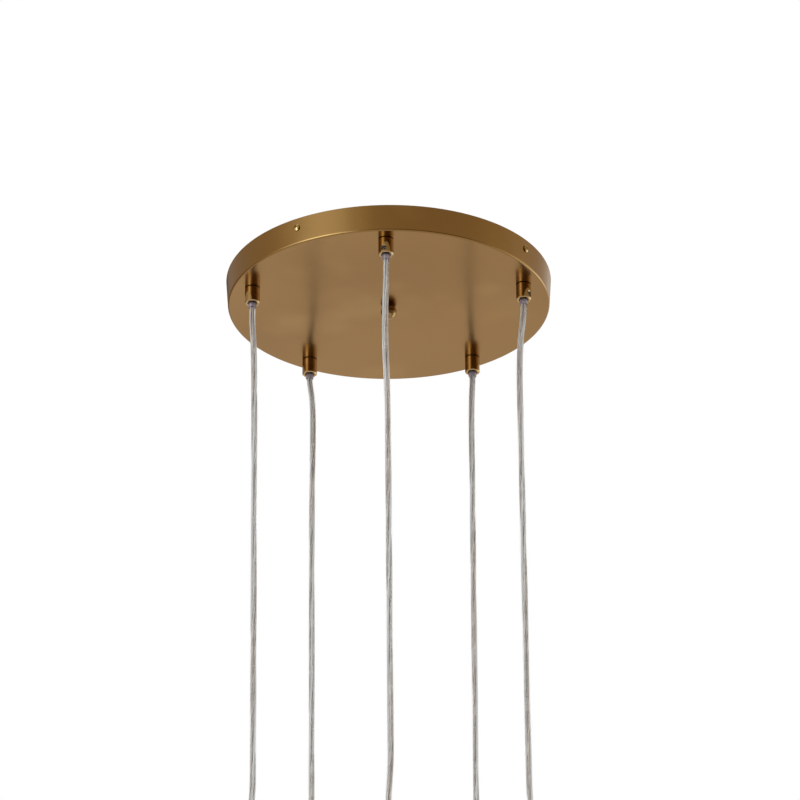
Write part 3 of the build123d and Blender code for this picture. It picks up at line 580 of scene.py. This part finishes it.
def make_grub(n):
    shape = bmesh.new()
    slot_turn = Matrix.Rotation(math.radians(SLOT_TURN + (n - 1) * SLOT_STEP), 4, "Z")
    ring_of(shape, GRUB_SIDES, GRUB_R - GRUB_EDGE, Matrix(), filled=True)
    for side in (-1, 1):
        across = slot_turn @ Vector((side, 0, 0))
        bmesh.ops.bisect_plane(shape, geom=whole(shape), dist=1e-8, plane_co=across * SLOT_W / 2,
                               plane_no=across)
    rim = [edge for edge in shape.edges if edge.is_boundary]
    between = min(shape.faces, key=lambda face: face.calc_center_median().length)
    slot = bmesh.ops.extrude_face_region(shape, geom=[between])["geom"]
    floor_faces = only(FACE, slot)
    bmesh.ops.delete(shape, geom=[between], context="FACES_ONLY")
    bmesh.ops.translate(shape, vec=(0, 0, -SLOT_DEPTH), verts=only(VERT, slot))
    # The slot's floor and walls take the second finish, the painted shade.
    for face in floor_faces + [face for edge in floor_faces[0].edges for face in edge.link_faces]:
        face.material_index = 1
    for to_r, to_z in ((GRUB_R, -GRUB_EDGE), (GRUB_R, -GRUB_L + GRUB_EDGE), (GRUB_R - GRUB_EDGE, -GRUB_L)):
        corners, rim, sides = extruded(shape, rim)
        for corner in corners:
            corner.co = (*(corner.co.xy.normalized() * to_r), to_z)
        for face in sides:
            face.material_index = 0
    bmesh.ops.contextual_create(shape, geom=rim)
    azimuth = math.tau * (n - 1) / len(GRIPS) + GRUB_TURN
    place = (Matrix.Translation(grip_axis(n)) @ Matrix.Rotation(azimuth, 4, "Z")
             @ Matrix.Translation((0, GRUB_SINK - SLEEVE_R, GRUB_Z)) @ Matrix.Rotation(math.pi / 2, 4, "X"))
    bmesh.ops.transform(shape, matrix=place, verts=shape.verts)
    return finished(f"slotted_grub_{n}", shape, 25)


for n in GRIPS:
    grub = make_grub(n)
    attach(grub, f"grub_{n}")
    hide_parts(f"grub_screw_{n}")
    lowest = [min(corner.co[k] for corner in grub.data.vertices) for k in range(3)]
    off = max(abs(a - b) for a, b in zip(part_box(f"grub_screw_{n}")[0], lowest))
    print("grub screw", n, "off its place by at most", round(off, 5))

# %% [markdown]
# ## The lampholders' screw shells
# A lamp screws into a thin nickel shell whose wall is pressed into a round thread. The thread
# is a wave along the shell's height that climbs one pitch in a full turn, so the wave is drawn
# once as a line of points and spun with a rise. One turn's end then lies on the next turn's
# start and merges with it. Two cuts level the ends, the top ring is drawn in to the step that
# holds the lamp's shoulder, and solidify gives the thin wall.

# %% The screw shells
SHELL_LOW, SHELL_HIGH = -0.7263, -0.7043
SHELL_R = 0.0133
SHELL_T = 0.00045
THREAD_PITCH = 0.00363
THREAD_DEPTH = 0.0009
THREAD_POINTS = 8
THREAD_MERGE = 2e-6
SHELL_STEPS = 56
SHELL_MOUTH_L = 0.0016
SHELL_STEP_R = 0.0109


def make_screw_shell(n):
    shape = bmesh.new()
    axis = grip_axis(n)
    low = SHELL_LOW + SHELL_MOUTH_L
    high = SHELL_HIGH - SHELL_T
    count = (math.ceil((high - low) / THREAD_PITCH) + 1) * THREAD_POINTS
    corners = []
    for k in range(count + 1):
        wave = 0.5 + 0.5 * math.cos(math.tau * k / THREAD_POINTS)
        z = low - THREAD_PITCH + THREAD_PITCH * k / THREAD_POINTS
        corners.append(shape.verts.new((axis.x + SHELL_R + SHELL_T - THREAD_DEPTH * wave, axis.y, z)))
    edges = [shape.edges.new(pair) for pair in zip(corners, corners[1:])]
    bmesh.ops.spin(shape, geom=corners + edges, cent=(axis.x, axis.y, 0), axis=(0, 0, 1), angle=math.tau,
                   dvec=(0, 0, THREAD_PITCH / SHELL_STEPS), steps=SHELL_STEPS)
    bmesh.ops.remove_doubles(shape, verts=shape.verts, dist=THREAD_MERGE)
    for z, facing in ((low, -1), (high, 1)):
        bmesh.ops.bisect_plane(shape, geom=whole(shape), dist=1e-7, plane_co=(0, 0, z),
                               plane_no=(0, 0, facing), clear_outer=True)
    for z, to_r, rise in ((low, SHELL_R + SHELL_T, -SHELL_MOUTH_L), (high, SHELL_STEP_R, 0.0)):
        ring = [edge for edge in shape.edges
                if edge.is_boundary and all(abs(v.co.z - z) < 1e-6 for v in edge.verts)]
        for corner in extruded(shape, ring)[0]:
            flat = (corner.co - axis).xy.normalized() * to_r
            corner.co = (axis.x + flat.x, axis.y + flat.y, z + rise)
    bmesh.ops.recalc_face_normals(shape, faces=shape.faces)
    half_way = (low + high) / 2
    middle = next(face for face in shape.faces if abs(face.calc_center_median().z - half_way) < 0.004)
    inward = (axis - middle.calc_center_median()).xy
    if middle.normal.xy.dot(inward) < 0:
        bmesh.ops.reverse_faces(shape, faces=shape.faces)
    bmesh.ops.solidify(shape, geom=shape.faces[:], thickness=-SHELL_T)
    return finished(f"screw_shell_{n}", shape, 50)


for n in GRIPS:
    shell = make_screw_shell(n)
    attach(shell, f"lampholder_{n}")
    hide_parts(f"holder_shell_{n}")
print("screw shells of", len(shell.data.polygons), "faces each")

# %% [markdown]
# ## Helpers for nodes
# Every material, and the world, is a tree of nodes. The first helper makes a node and fills its
# inputs, and the others give one result each of the kinds of node that come up again and again.

# %% Node helpers
def fill(tree, made, inputs):
    """Fills a node's inputs with numbers, colours or other nodes' outputs."""
    for key, value in dict(inputs).items():
        if isinstance(value, bpy.types.NodeSocket):
            tree.links.new(value, made.inputs[key])
        else:
            made.inputs[key].default_value = value
    return made


def node(tree, kind, inputs=(), **settings):
    """A shader node with its settings made and its inputs filled."""
    made = tree.nodes.new("ShaderNode" + kind)
    for key, value in settings.items():
        setattr(made, key, value)
    return fill(tree, made, inputs)


def worked_out(tree, operation, *values):
    return node(tree, "Math", enumerate(values), operation=operation).outputs[0]


def ranged(tree, value, low, high, to_low=0.0, to_high=1.0, way="LINEAR"):
    """A value that runs from low to high, made to run from to_low to to_high."""
    return node(tree, "MapRange", {"Value": value, "From Min": low, "From Max": high, "To Min": to_low,
                                   "To Max": to_high}, interpolation_type=way).outputs[0]


def mixed(tree, share, first, second):
    """The first colour at a share of nought, and the second at one."""
    return node(tree, "Mix", {0: share, 6: first, 7: second}, data_type="RGBA").outputs[2]


def split(tree, vector):
    return node(tree, "SeparateXYZ", {0: vector}).outputs


def on_piece(tree):
    return node(tree, "TexCoord").outputs["Object"]


def noise(tree, place, scale, detail, roughness=0.5):
    return node(tree, "TexNoise", {"Vector": place, "Scale": scale, "Detail": detail,
                                   "Roughness": roughness}).outputs["Fac"]


def shade(name):
    """A new material and its node tree, emptied."""
    material = bpy.data.materials.new(name)
    material.use_nodes = True
    material.node_tree.nodes.clear()
    return material, material.node_tree


def surface(tree, kind, inputs):
    """The shader that a material shows."""
    node(tree, "OutputMaterial", {"Surface": node(tree, kind, inputs).outputs[0]})


# %% [markdown]
# ## The studio
# The object hangs in a plain white studio. The world is white to the camera, to reflections and
# to refraction, and a little lower to diffuse light, so that no pale surface clips. Far below
# is a pale floor that keeps the object's shadow. Brass shows what stands round it, so a wall
# that only reflections can see stands round the object: one side is bright, as a window or a soft
# box would make it, and the other is dim, which draws the light and dark stripes on every
# turned piece.

# %% World and floor
WHITE = (1, 1, 1, 1)
DIFFUSE_LEVEL = 0.85
FLOOR_Z = -3.2
FLOOR_R, FLOOR_SIDES = 9.0, 64
FLOOR_TONE = (0.9, 0.9, 0.9, 1)
FLOOR_GLOW = 0.6               # how much of the floor is plain white to the camera
FLOOR_MIRRORED = -0.25         # and how much less to a reflection


def seen_straight(tree):
    """One for camera, glossy and transmission rays, nought for the rest."""
    rays = node(tree, "LightPath").outputs
    sharp = worked_out(tree, "MAXIMUM", rays["Is Camera Ray"], rays["Is Glossy Ray"])
    return worked_out(tree, "MAXIMUM", sharp, rays["Is Transmission Ray"])


world = bpy.data.worlds.new("studio")
world.use_nodes = True
bpy.context.scene.world = world
sky = world.node_tree
sky.nodes.clear()
plain = node(sky, "Background", {"Color": WHITE, "Strength": DIFFUSE_LEVEL})
white = node(sky, "Background", {"Color": WHITE, "Strength": 1.0})
both = node(sky, "MixShader", {0: seen_straight(sky), 1: plain.outputs[0], 2: white.outputs[0]})
node(sky, "OutputWorld", {"Surface": both.outputs[0]})

shape = bmesh.new()
ring_of(shape, FLOOR_SIDES, FLOOR_R, Matrix.Translation((0, 0, FLOOR_Z)), filled=True)
floor = finished("floor", shape)
material, tree = shade("pale_floor")
matt = node(tree, "BsdfDiffuse", {"Color": FLOOR_TONE})
glow = node(tree, "Emission", {"Color": WHITE, "Strength": 1.0})
mirrored = worked_out(tree, "MULTIPLY", node(tree, "LightPath").outputs["Is Glossy Ray"], FLOOR_MIRRORED)
share = worked_out(tree, "MULTIPLY_ADD", seen_straight(tree), FLOOR_GLOW, mirrored)
surface(tree, "MixShader", {0: share, 1: matt.outputs[0], 2: glow.outputs[0]})
floor.data.materials.append(material)
print("floor at", FLOOR_Z)

# %% The wall that reflections see
WALL_R, WALL_SIDES = 4.0, 96
WALL_TOP = 8.0
# Azimuth in degrees from the camera's side, to the right, and how bright the wall is there.
LOW_LIGHT = [
    (-180, 1.04), (-172, 1.14), (-162, 0.9), (-150, 0.5), (-135, 0.4), (-100, 0.6), (-80, 0.9),
    (-66, 1.8), (-54, 4.3), (-40, 4.3), (-29, 2.1), (-19, 0.7), (-8, 0.36), (8, 0.28), (50, 0.26),
    (68, 0.5), (85, 1.1), (105, 1.5), (116, 1.7), (122, 2.8), (134, 2.8), (141, 1.2), (160, 1.0),
    (180, 1.04)]
HIGH_LIGHT = [
    (-180, 0.1), (-163, 0.16), (-155, 0.3), (-147, 0.47), (-133, 0.54), (-120, 0.6), (-96, 0.67),
    (-79, 0.75), (-74, 0.84), (-69, 0.86), (-61, 1.2), (-57, 1.36), (-50, 1.5), (-43, 1.5),
    (-36, 1.38), (-30, 1.3), (-27, 1.14), (-25, 0.97), (-18, 0.93), (-11, 0.75), (-6, 0.68),
    (8, 0.68), (45, 0.65), (60, 0.67), (78, 0.8), (97, 0.86), (108, 0.94), (122, 0.84),
    (138, 0.78), (146, 0.84), (158, 0.8), (180, 0.12)]
TOP_LIGHT = [
    (-180, 0.1), (-163, 0.13), (-150, 0.42), (-136, 0.52), (-82, 0.62), (-64, 0.75), (-46, 0.75),
    (-28, 0.6), (-8, 0.45), (50, 0.42), (90, 0.5), (125, 0.6), (142, 0.8), (158, 0.9), (172, 0.5),
    (180, 0.1)]
LEVELS = ((0.3, 1.0), (1.78, 1.88))      # heights between which one list gives way to the next
TOP_LEVEL = 5.0               # a ramp's colours stop at one, so the tones are kept as shares of this
# Dim parts of a room are warm, and its windows a little cool: each tint comes in between two levels.
DEEP_WARMTH = (1.0, 0.68, 0.40)
TINTS = ((0.10, 0.60, (1.0, 0.89, 0.70)), (0.75, 1.30, (1.0, 1.06, 1.08)), (1.30, 2.40, (0.90, 1.09, 1.28)))


def light_round(tree, azimuth_share, tones):
    ramp = node(tree, "ValToRGB", {"Fac": azimuth_share})
    stops = ramp.color_ramp.elements
    while len(stops) < len(tones):
        stops.new(1.0)
    for stop, (degrees, level) in zip(stops, tones):
        tint = Vector(DEEP_WARMTH)
        for low, high, next_tint in TINTS:
            tint = tint.lerp(Vector(next_tint), min(1, max(0, (level - low) / (high - low))))
        stop.position = (degrees + 180) / 360
        stop.color = (*(level * part / TOP_LEVEL for part in tint), 1)
    return ramp.outputs["Color"]


shape = bmesh.new()
bmesh.ops.create_cone(shape, cap_ends=False, segments=WALL_SIDES, radius1=WALL_R, radius2=WALL_R,
                      depth=WALL_TOP - FLOOR_Z, matrix=Matrix.Translation((0, 0, (WALL_TOP + FLOOR_Z) / 2)))
wall = finished("studio_surround", shape)
for ray in ("camera", "diffuse", "shadow", "transmission", "volume_scatter"):
    setattr(wall, f"visible_{ray}", False)
material, tree = shade("surround_light")
parts = split(tree, on_piece(tree))
azimuth = worked_out(tree, "ARCTAN2", parts["X"], worked_out(tree, "MULTIPLY", parts["Y"], -1.0))
turn = ranged(tree, azimuth, -math.pi, math.pi)
tone = light_round(tree, turn, LOW_LIGHT)
for (foot, head), tones in zip(LEVELS, (HIGH_LIGHT, TOP_LIGHT)):
    height = ranged(tree, parts["Z"], foot, head, way="SMOOTHSTEP")
    tone = mixed(tree, height, tone, light_round(tree, turn, tones))
surface(tree, "Emission", {"Color": tone, "Strength": TOP_LEVEL})
wall.data.materials.append(material)
print("wall of", len(LOW_LIGHT), len(HIGH_LIGHT), "and", len(TOP_LIGHT), "tones")

# %% A soft box
lamp_data = bpy.data.lights.new("soft_box", "AREA")
lamp_data.shape = "RECTANGLE"
lamp_data.size = 1.1
lamp_data.size_y = 1.5
lamp_data.energy = 12.0
lamp = bpy.data.objects.new("soft_box", lamp_data)
lamp.visible_glossy = False
lamp_place = Vector((-1.7, -2.4, 1.7))
lamp.matrix_world = (Matrix.Translation(lamp_place)
                     @ (-lamp_place).to_track_quat("-Z", "Y").to_matrix().to_4x4())
bpy.context.scene.collection.objects.link(lamp)
print("soft box", lamp_data.energy, "W")

# %% [markdown]
# ## Effects that several finishes share
# Real metal is never one flat colour. Old brass darkens in soft clouds, a lathe leaves fine
# rings, rolling and brushing leave a grain, and handling rubs the edges bright. Where two pieces
# meet, painted shade darkens the colour, with some grime. Each of these effects is a node group
# with named inputs, made once and placed in each material with its own values. All but the
# rubbed edges read Object coordinates, so they stay on the piece when it moves.

# %% Node groups
def colour(red, green, blue):
    """A colour written as a screen shows it, 0 to 255, as the linear one that shaders use."""
    def linear(value):
        share = value / 255
        return share / 12.92 if share <= 0.04045 else ((share + 0.055) / 1.055) ** 2.4
    return (linear(red), linear(green), linear(blue), 1.0)


def new_group(name, inputs, outputs):
    """A node group, what its inputs give, and the node that takes its results."""
    group = bpy.data.node_groups.new(name, "ShaderNodeTree")
    for title, kind, value in inputs:
        group.interface.new_socket(title, in_out="INPUT", socket_type=kind).default_value = value
    for title, kind in outputs:
        group.interface.new_socket(title, in_out="OUTPUT", socket_type=kind)
    return group, group.nodes.new("NodeGroupInput").outputs, group.nodes.new("NodeGroupOutput")


def placed(tree, group, **inputs):
    """What a group gives in a material. An underscore stands for the space in an input's name."""
    made = tree.nodes.new("ShaderNodeGroup")
    made.node_tree = group
    return fill(tree, made, {key.replace("_", " "): value for key, value in inputs.items()}).outputs


FLOAT, COLOUR = "NodeSocketFloat", "NodeSocketColor"

clouds, given, result = new_group(
    "patina_clouds",
    [("Metal", COLOUR, colour(160, 130, 90)), ("Darkened", COLOUR, colour(130, 95, 60)),
     ("Cleared", COLOUR, colour(180, 150, 105)), ("Per Metre", FLOAT, 12.0), ("Strength", FLOAT, 0.5)],
    [("Color", COLOUR), ("Cloud", FLOAT)])
place = on_piece(clouds)
slow = noise(clouds, place, given["Per Metre"], 1.0, 0.4)
fast = noise(clouds, place, worked_out(clouds, "MULTIPLY", given["Per Metre"], 2.3), 2.0)
dark_share = ranged(clouds, slow, 0.42, 0.66, to_high=given["Strength"])
clear_share = ranged(clouds, fast, 0.5, 0.72, to_high=given["Strength"])
darker = mixed(clouds, dark_share, given["Metal"], given["Darkened"])
fill(clouds, result, {"Color": mixed(clouds, clear_share, darker, given["Cleared"]), "Cloud": slow})

grain, given, result = new_group("fine_grain", [("Per Metre", FLOAT, 900.0)], [("Height", FLOAT)])
fill(grain, result, {"Height": noise(grain, on_piece(grain), given["Per Metre"], 2.0)})

rings, given, result = new_group("turning_rings", [("Per Metre", FLOAT, 2500.0)], [("Height", FLOAT)])
height = worked_out(rings, "MULTIPLY", split(rings, on_piece(rings))["Z"], given["Per Metre"])
cuts = node(rings, "TexNoise", {"W": height, "Scale": 1.0, "Detail": 3.0}, noise_dimensions="1D")
fill(rings, result, {"Height": cuts.outputs["Fac"]})

rubbed, given, result = new_group("rubbed_edges", [("Width", FLOAT, 0.0006)], [("Mask", FLOAT)])
rounded = node(rubbed, "Bevel", {"Radius": given["Width"]}, samples=4).outputs[0]
true_normal = node(rubbed, "NewGeometry").outputs["Normal"]
likeness = node(rubbed, "VectorMath", {0: rounded, 1: true_normal}, operation="DOT_PRODUCT").outputs["Value"]
fill(rubbed, result, {"Mask": ranged(rubbed, likeness, 0.99, 0.86)})

# Painted shade, with some grime: the colour darkens within Reach of a level where two pieces meet.
joint_shade_and_grime, given, result = new_group(
    "joint_shade_and_grime", [("Level", FLOAT, PLATE_Z), ("Reach", FLOAT, 0.0012), ("Strength", FLOAT, 0.8)],
    [("Mask", FLOAT)])
below = worked_out(joint_shade_and_grime, "SUBTRACT", given["Level"], split(joint_shade_and_grime, on_piece(joint_shade_and_grime))["Z"])
below = worked_out(joint_shade_and_grime, "ABSOLUTE", below)
mask = ranged(joint_shade_and_grime, below, 0.0, given["Reach"], given["Strength"], 0.0, "SMOOTHSTEP")
fill(joint_shade_and_grime, result, {"Mask": mask})
print("groups", [group.name for group in (clouds, grain, rings, rubbed, joint_shade_and_grime)])

# %% [markdown]
# ## The metals
# The canopy is satin brass under a brown, uneven tarnish, and the turned pieces are the same
# brass with a closer polish. Both, the plated screws and the nickel and steel inside differ
# only in colour, cloud, roughness and marks, so one recipe takes those as values.

# %% Metal finishes
CLOUD_RANGE = (0.3, 0.7)                 # where most of the noise lies
MARK_DEPTH = 0.0002
# The colour of the painted shade, with some grime, where turned pieces meet the plate.
SHADE_AND_GRIME = colour(34, 16, 5)


def marked(tree, height, strength):
    """The normal of a surface with these marks in it."""
    return node(tree, "Bump", {"Height": height, "Strength": strength,
                               "Distance": MARK_DEPTH}).outputs["Normal"]


def weathered(tree, tones, per_metre, strength, roughness, swing, wear):
    """A clouded colour, rubbed clear at the edges, and a roughness that follows the clouds by swing.
    tones are the surface's own colour, its darkened one and its cleared one."""
    own, darkened, cleared = (colour(*tone) for tone in tones)
    base = placed(tree, clouds, Metal=own, Darkened=darkened, Cleared=cleared, Per_Metre=per_metre,
                  Strength=strength)
    paint = base["Color"]
    if wear:
        edge = worked_out(tree, "MULTIPLY", placed(tree, rubbed)["Mask"], wear)
        paint = mixed(tree, edge, paint, cleared)
    return paint, ranged(tree, base["Cloud"], *CLOUD_RANGE, roughness - swing, roughness + swing)


def metal(name, tones, per_metre, strength, roughness, swing, grain_bump=0.0, ring_bump=0.0, wear=0.0,
          edge_tint=WHITE, shade_and_grime=0.0):
    """edge_tint keeps some of the metal's colour where it is seen at a slant, as a tarnish does."""
    material, tree = shade(name)
    paint, rough = weathered(tree, tones, per_metre, strength, roughness, swing, wear)
    # Painted shade, with some grime: a dark band at the plate's level, where the piece meets it.
    if shade_and_grime:
        paint = mixed(tree, placed(tree, joint_shade_and_grime, Strength=shade_and_grime)["Mask"], paint, SHADE_AND_GRIME)
    inputs = {"Base Color": paint, "Metallic": 1.0, "Roughness": rough, "Specular Tint": edge_tint}
    if grain_bump:
        inputs["Normal"] = marked(tree, placed(tree, grain, Per_Metre=1400.0)["Height"], grain_bump)
    if ring_bump:
        inputs["Normal"] = marked(tree, placed(tree, rings)["Height"], ring_bump)
    surface(tree, "BsdfPrincipled", inputs)
    return material


FINISHES = {
    "canopy_brass": metal(
        "satin_antique_brass", ((141, 107, 62), (133, 99, 56), (151, 118, 73)), 5.0, 0.7, 0.205, 0.02,
        grain_bump=0.03, wear=0.3, edge_tint=(0.9, 0.87, 0.88, 1)),
    "polished_brass": metal(
        "turned_brass", ((165, 134, 86), (150, 116, 68), (184, 162, 142)), 60.0, 0.4, 0.10, 0.03,
        ring_bump=0.05, wear=0.7, edge_tint=(0.9, 0.85, 0.8, 1), shade_and_grime=1.0),
    "handled_brass": metal(
        "handled_brass", ((140, 108, 64), (116, 84, 46), (176, 148, 104)), 160.0, 0.7, 0.08, 0.03,
        wear=0.3, edge_tint=(0.9, 0.85, 0.8, 1)),
    "brass_screw": metal(
        "plated_screw_brass", ((172, 138, 84), (150, 116, 66), (196, 164, 108)), 150.0, 0.6, 0.16, 0.03,
        wear=0.4),
    "zinc_steel": metal(
        "zinc_plate", ((196, 200, 204), (176, 184, 196), (206, 204, 188)), 70.0, 0.8, 0.34, 0.08,
        grain_bump=0.12, wear=0.5),
    "dark_steel": metal(
        "grub_screw_steel", ((52, 47, 44), (38, 35, 32), (156, 146, 138)), 200.0, 0.6, 0.34, 0.05, wear=0.8),
    "nickel_shell": metal(
        "nickel_plate", ((206, 200, 188), (188, 180, 166), (222, 218, 208)), 90.0, 0.6, 0.20, 0.05, wear=0.4),
    "spring_brass": metal(
        "spring_brass", ((206, 164, 92), (184, 138, 72), (224, 190, 124)), 120.0, 0.6, 0.25, 0.05, wear=0.4),
}
# A near-black finish that paints the shade in the grub screws' slots.
SLOT_SHADE = metal("slot_painted_shade", ((20, 17, 15), (13, 11, 10), (32, 28, 25)), 400.0, 0.6, 0.5, 0.05)
TINNED = metal("tinned_tag", ((206, 206, 202), (186, 186, 184), (220, 220, 218)), 300.0, 0.6, 0.24, 0.05,
               wear=0.4)
print("metals", sorted(FINISHES))

# %% [markdown]
# ## The plastics
# The lampholders are black moulded plastic, glossy but a little uneven. The terminal box is
# white nylon and its block natural nylon. The bushes in the grips are clear nylon, which light
# passes through and scatters in, with painted shade darkening them where they enter the
# sleeves. The earth lead has the green and yellow sleeve that marks it, and its ring tag is bare tin.

# %% Plastic finishes
def moulded(name, tones, roughness, grain_bump, shine=0.5, sub=0.0, shine_tint=WHITE):
    material, tree = shade(name)
    paint, rough = weathered(tree, tones, 45.0, 0.7, roughness, 0.05, 0.35)
    marks = placed(tree, grain, Per_Metre=1100.0)["Height"]
    surface(tree, "BsdfPrincipled", {
        "Base Color": paint, "Roughness": rough, "Normal": marked(tree, marks, grain_bump),
        "Specular IOR Level": shine, "Specular Tint": shine_tint, "Subsurface Weight": sub,
        "Subsurface Scale": 0.002})
    return material


FINISHES |= {
    "black_moulding": moulded("black_moulding", ((22, 21, 21), (17, 16, 16), (40, 38, 37)), 0.34, 0.10,
                              shine=0.30, shine_tint=(1.0, 0.86, 0.76, 1)),
    "white_plastic": moulded("white_nylon", ((226, 226, 222), (216, 215, 208), (234, 234, 231)), 0.45, 0.12),
    "natural_nylon": moulded("natural_nylon", ((216, 211, 192), (204, 198, 176), (226, 222, 208)), 0.42,
                             0.10, sub=0.1),
}

SLEEVE_MOUTH_Z = -0.047
FINISHES["clear_nylon"], tree = shade("clear_nylon")
haze = ranged(tree, placed(tree, grain, Per_Metre=120.0)["Height"], *CLOUD_RANGE, 0.26, 0.34)
# Painted shade: the bush turns dark brown near the sleeve's mouth, where it goes into the bore.
joint = placed(tree, joint_shade_and_grime, Level=SLEEVE_MOUTH_Z, Reach=0.0018, Strength=0.95)["Mask"]
surface(tree, "BsdfPrincipled", {
    "Base Color": mixed(tree, joint, colour(200, 186, 197), colour(30, 15, 8)), "Roughness": haze,
    "Transmission Weight": 0.75, "IOR": 1.45})

FINISHES["earth_insulation"], tree = shade("earth_sleeve")
round_wire = split(tree, node(tree, "UVMap").outputs["UV"])["X"]
wave = worked_out(tree, "SINE", worked_out(tree, "MULTIPLY", round_wire, 2 * math.tau))
stripes = ranged(tree, wave, 0.05, 0.25)
surface(tree, "BsdfPrincipled", {
    "Base Color": mixed(tree, stripes, colour(34, 120, 56), colour(226, 206, 60)), "Roughness": 0.38})
print("finishes", len(FINISHES))

# %% [markdown]
# ## The clear cord
# The sheath is soft clear vinyl: it bends light as glass does, with a surface that is not quite
# smooth. The conductors in it are tinned copper strands. Their grooves are form, and a fine
# pattern along the cord's own UV map draws long streaks of tone on each bunch, and small painted
# glints: near-white specks in the colour that stand in for highlights.

# %% Clear vinyl and strands
def clear_plastic(name, roughness, ior):
    material, tree = shade(name)
    marks = placed(tree, grain, Per_Metre=160.0)["Height"]
    surface(tree, "BsdfPrincipled", {
        "Base Color": colour(252, 252, 252), "Roughness": roughness, "Transmission Weight": 1.0,
        "IOR": ior, "Normal": marked(tree, marks, 0.15)})
    return material


STRAND_METALLIC = 0.2
STREAKS = (16.0, 32.0, 1.0)              # round a bunch and to the metre along it
GLINTS = (18.0, 520.0, 1.0)
GLINT_TONE = colour(255, 254, 250)


def strands(name, dark, light, roughness, glint_share):
    material, tree = shade(name)
    lay = node(tree, "UVMap").outputs["UV"]
    stretched, dotted = (node(tree, "Mapping", {"Vector": lay, "Scale": scale}).outputs[0]
                         for scale in (STREAKS, GLINTS))
    tone = ranged(tree, noise(tree, stretched, 1.0, 3.0), 0.40, 0.58)
    # Painted glints: near-white specks mixed into the base colour stand in for highlights.
    glint = ranged(tree, noise(tree, dotted, 1.0, 0.0), 0.60, 0.68, to_high=glint_share)
    paint = mixed(tree, glint, mixed(tree, tone, colour(*dark), colour(*light)), GLINT_TONE)
    surface(tree, "BsdfPrincipled", {"Base Color": paint, "Metallic": STRAND_METALLIC,
                                     "Roughness": roughness})
    return material


CLEAR_VINYL = FINISHES["clear_cord"] = clear_plastic("clear_vinyl", 0.04, 1.36)
CLEAR_CORE = clear_plastic("clear_insulation", 0.05, 1.05)
STRAND_FINISHES = [strands("bright_tinned_strands", (218, 221, 219), (240, 243, 242), 0.40, 0.2),
                   strands("dull_strands", (142, 126, 112), (244, 233, 221), 0.45, 0.7),
                   strands("grey_strands", (168, 160, 151), (250, 246, 239), 0.42, 0.9)]

# %% Finishes on the new pieces
def finish(name, *materials):
    for material in materials:
        bpy.data.objects[name].data.materials.append(material)


for n in GRIPS:
    for kind in ("cord", "lead"):
        finish(f"{kind}_sheath_{n}", CLEAR_VINYL)
        finish(f"{kind}_cores_{n}", CLEAR_CORE)
        for core in range(CORE_COUNT):
            finish(f"{kind}_strands_{n}_{core + 1}", STRAND_FINISHES[core])
    finish(f"screw_shell_{n}", FINISHES["nickel_shell"])
    finish(f"slotted_grub_{n}", FINISHES["dark_steel"], SLOT_SHADE)
finish("canopy_shell", FINISHES["canopy_brass"])
finish("earth_wire", FINISHES["earth_insulation"])
finish("earth_tag_ring", TINNED)
finish("earth_tag_barrel", TINNED)

# %% Finishes on the CAD nodes
for name, part in NODES.items():
    for holder in part.material_slots:
        holder.material = FINISHES["handled_brass" if name == "ball_nut" else SLOT_OF_NODE[name]]
print("finished", len(NODES), "nodes")
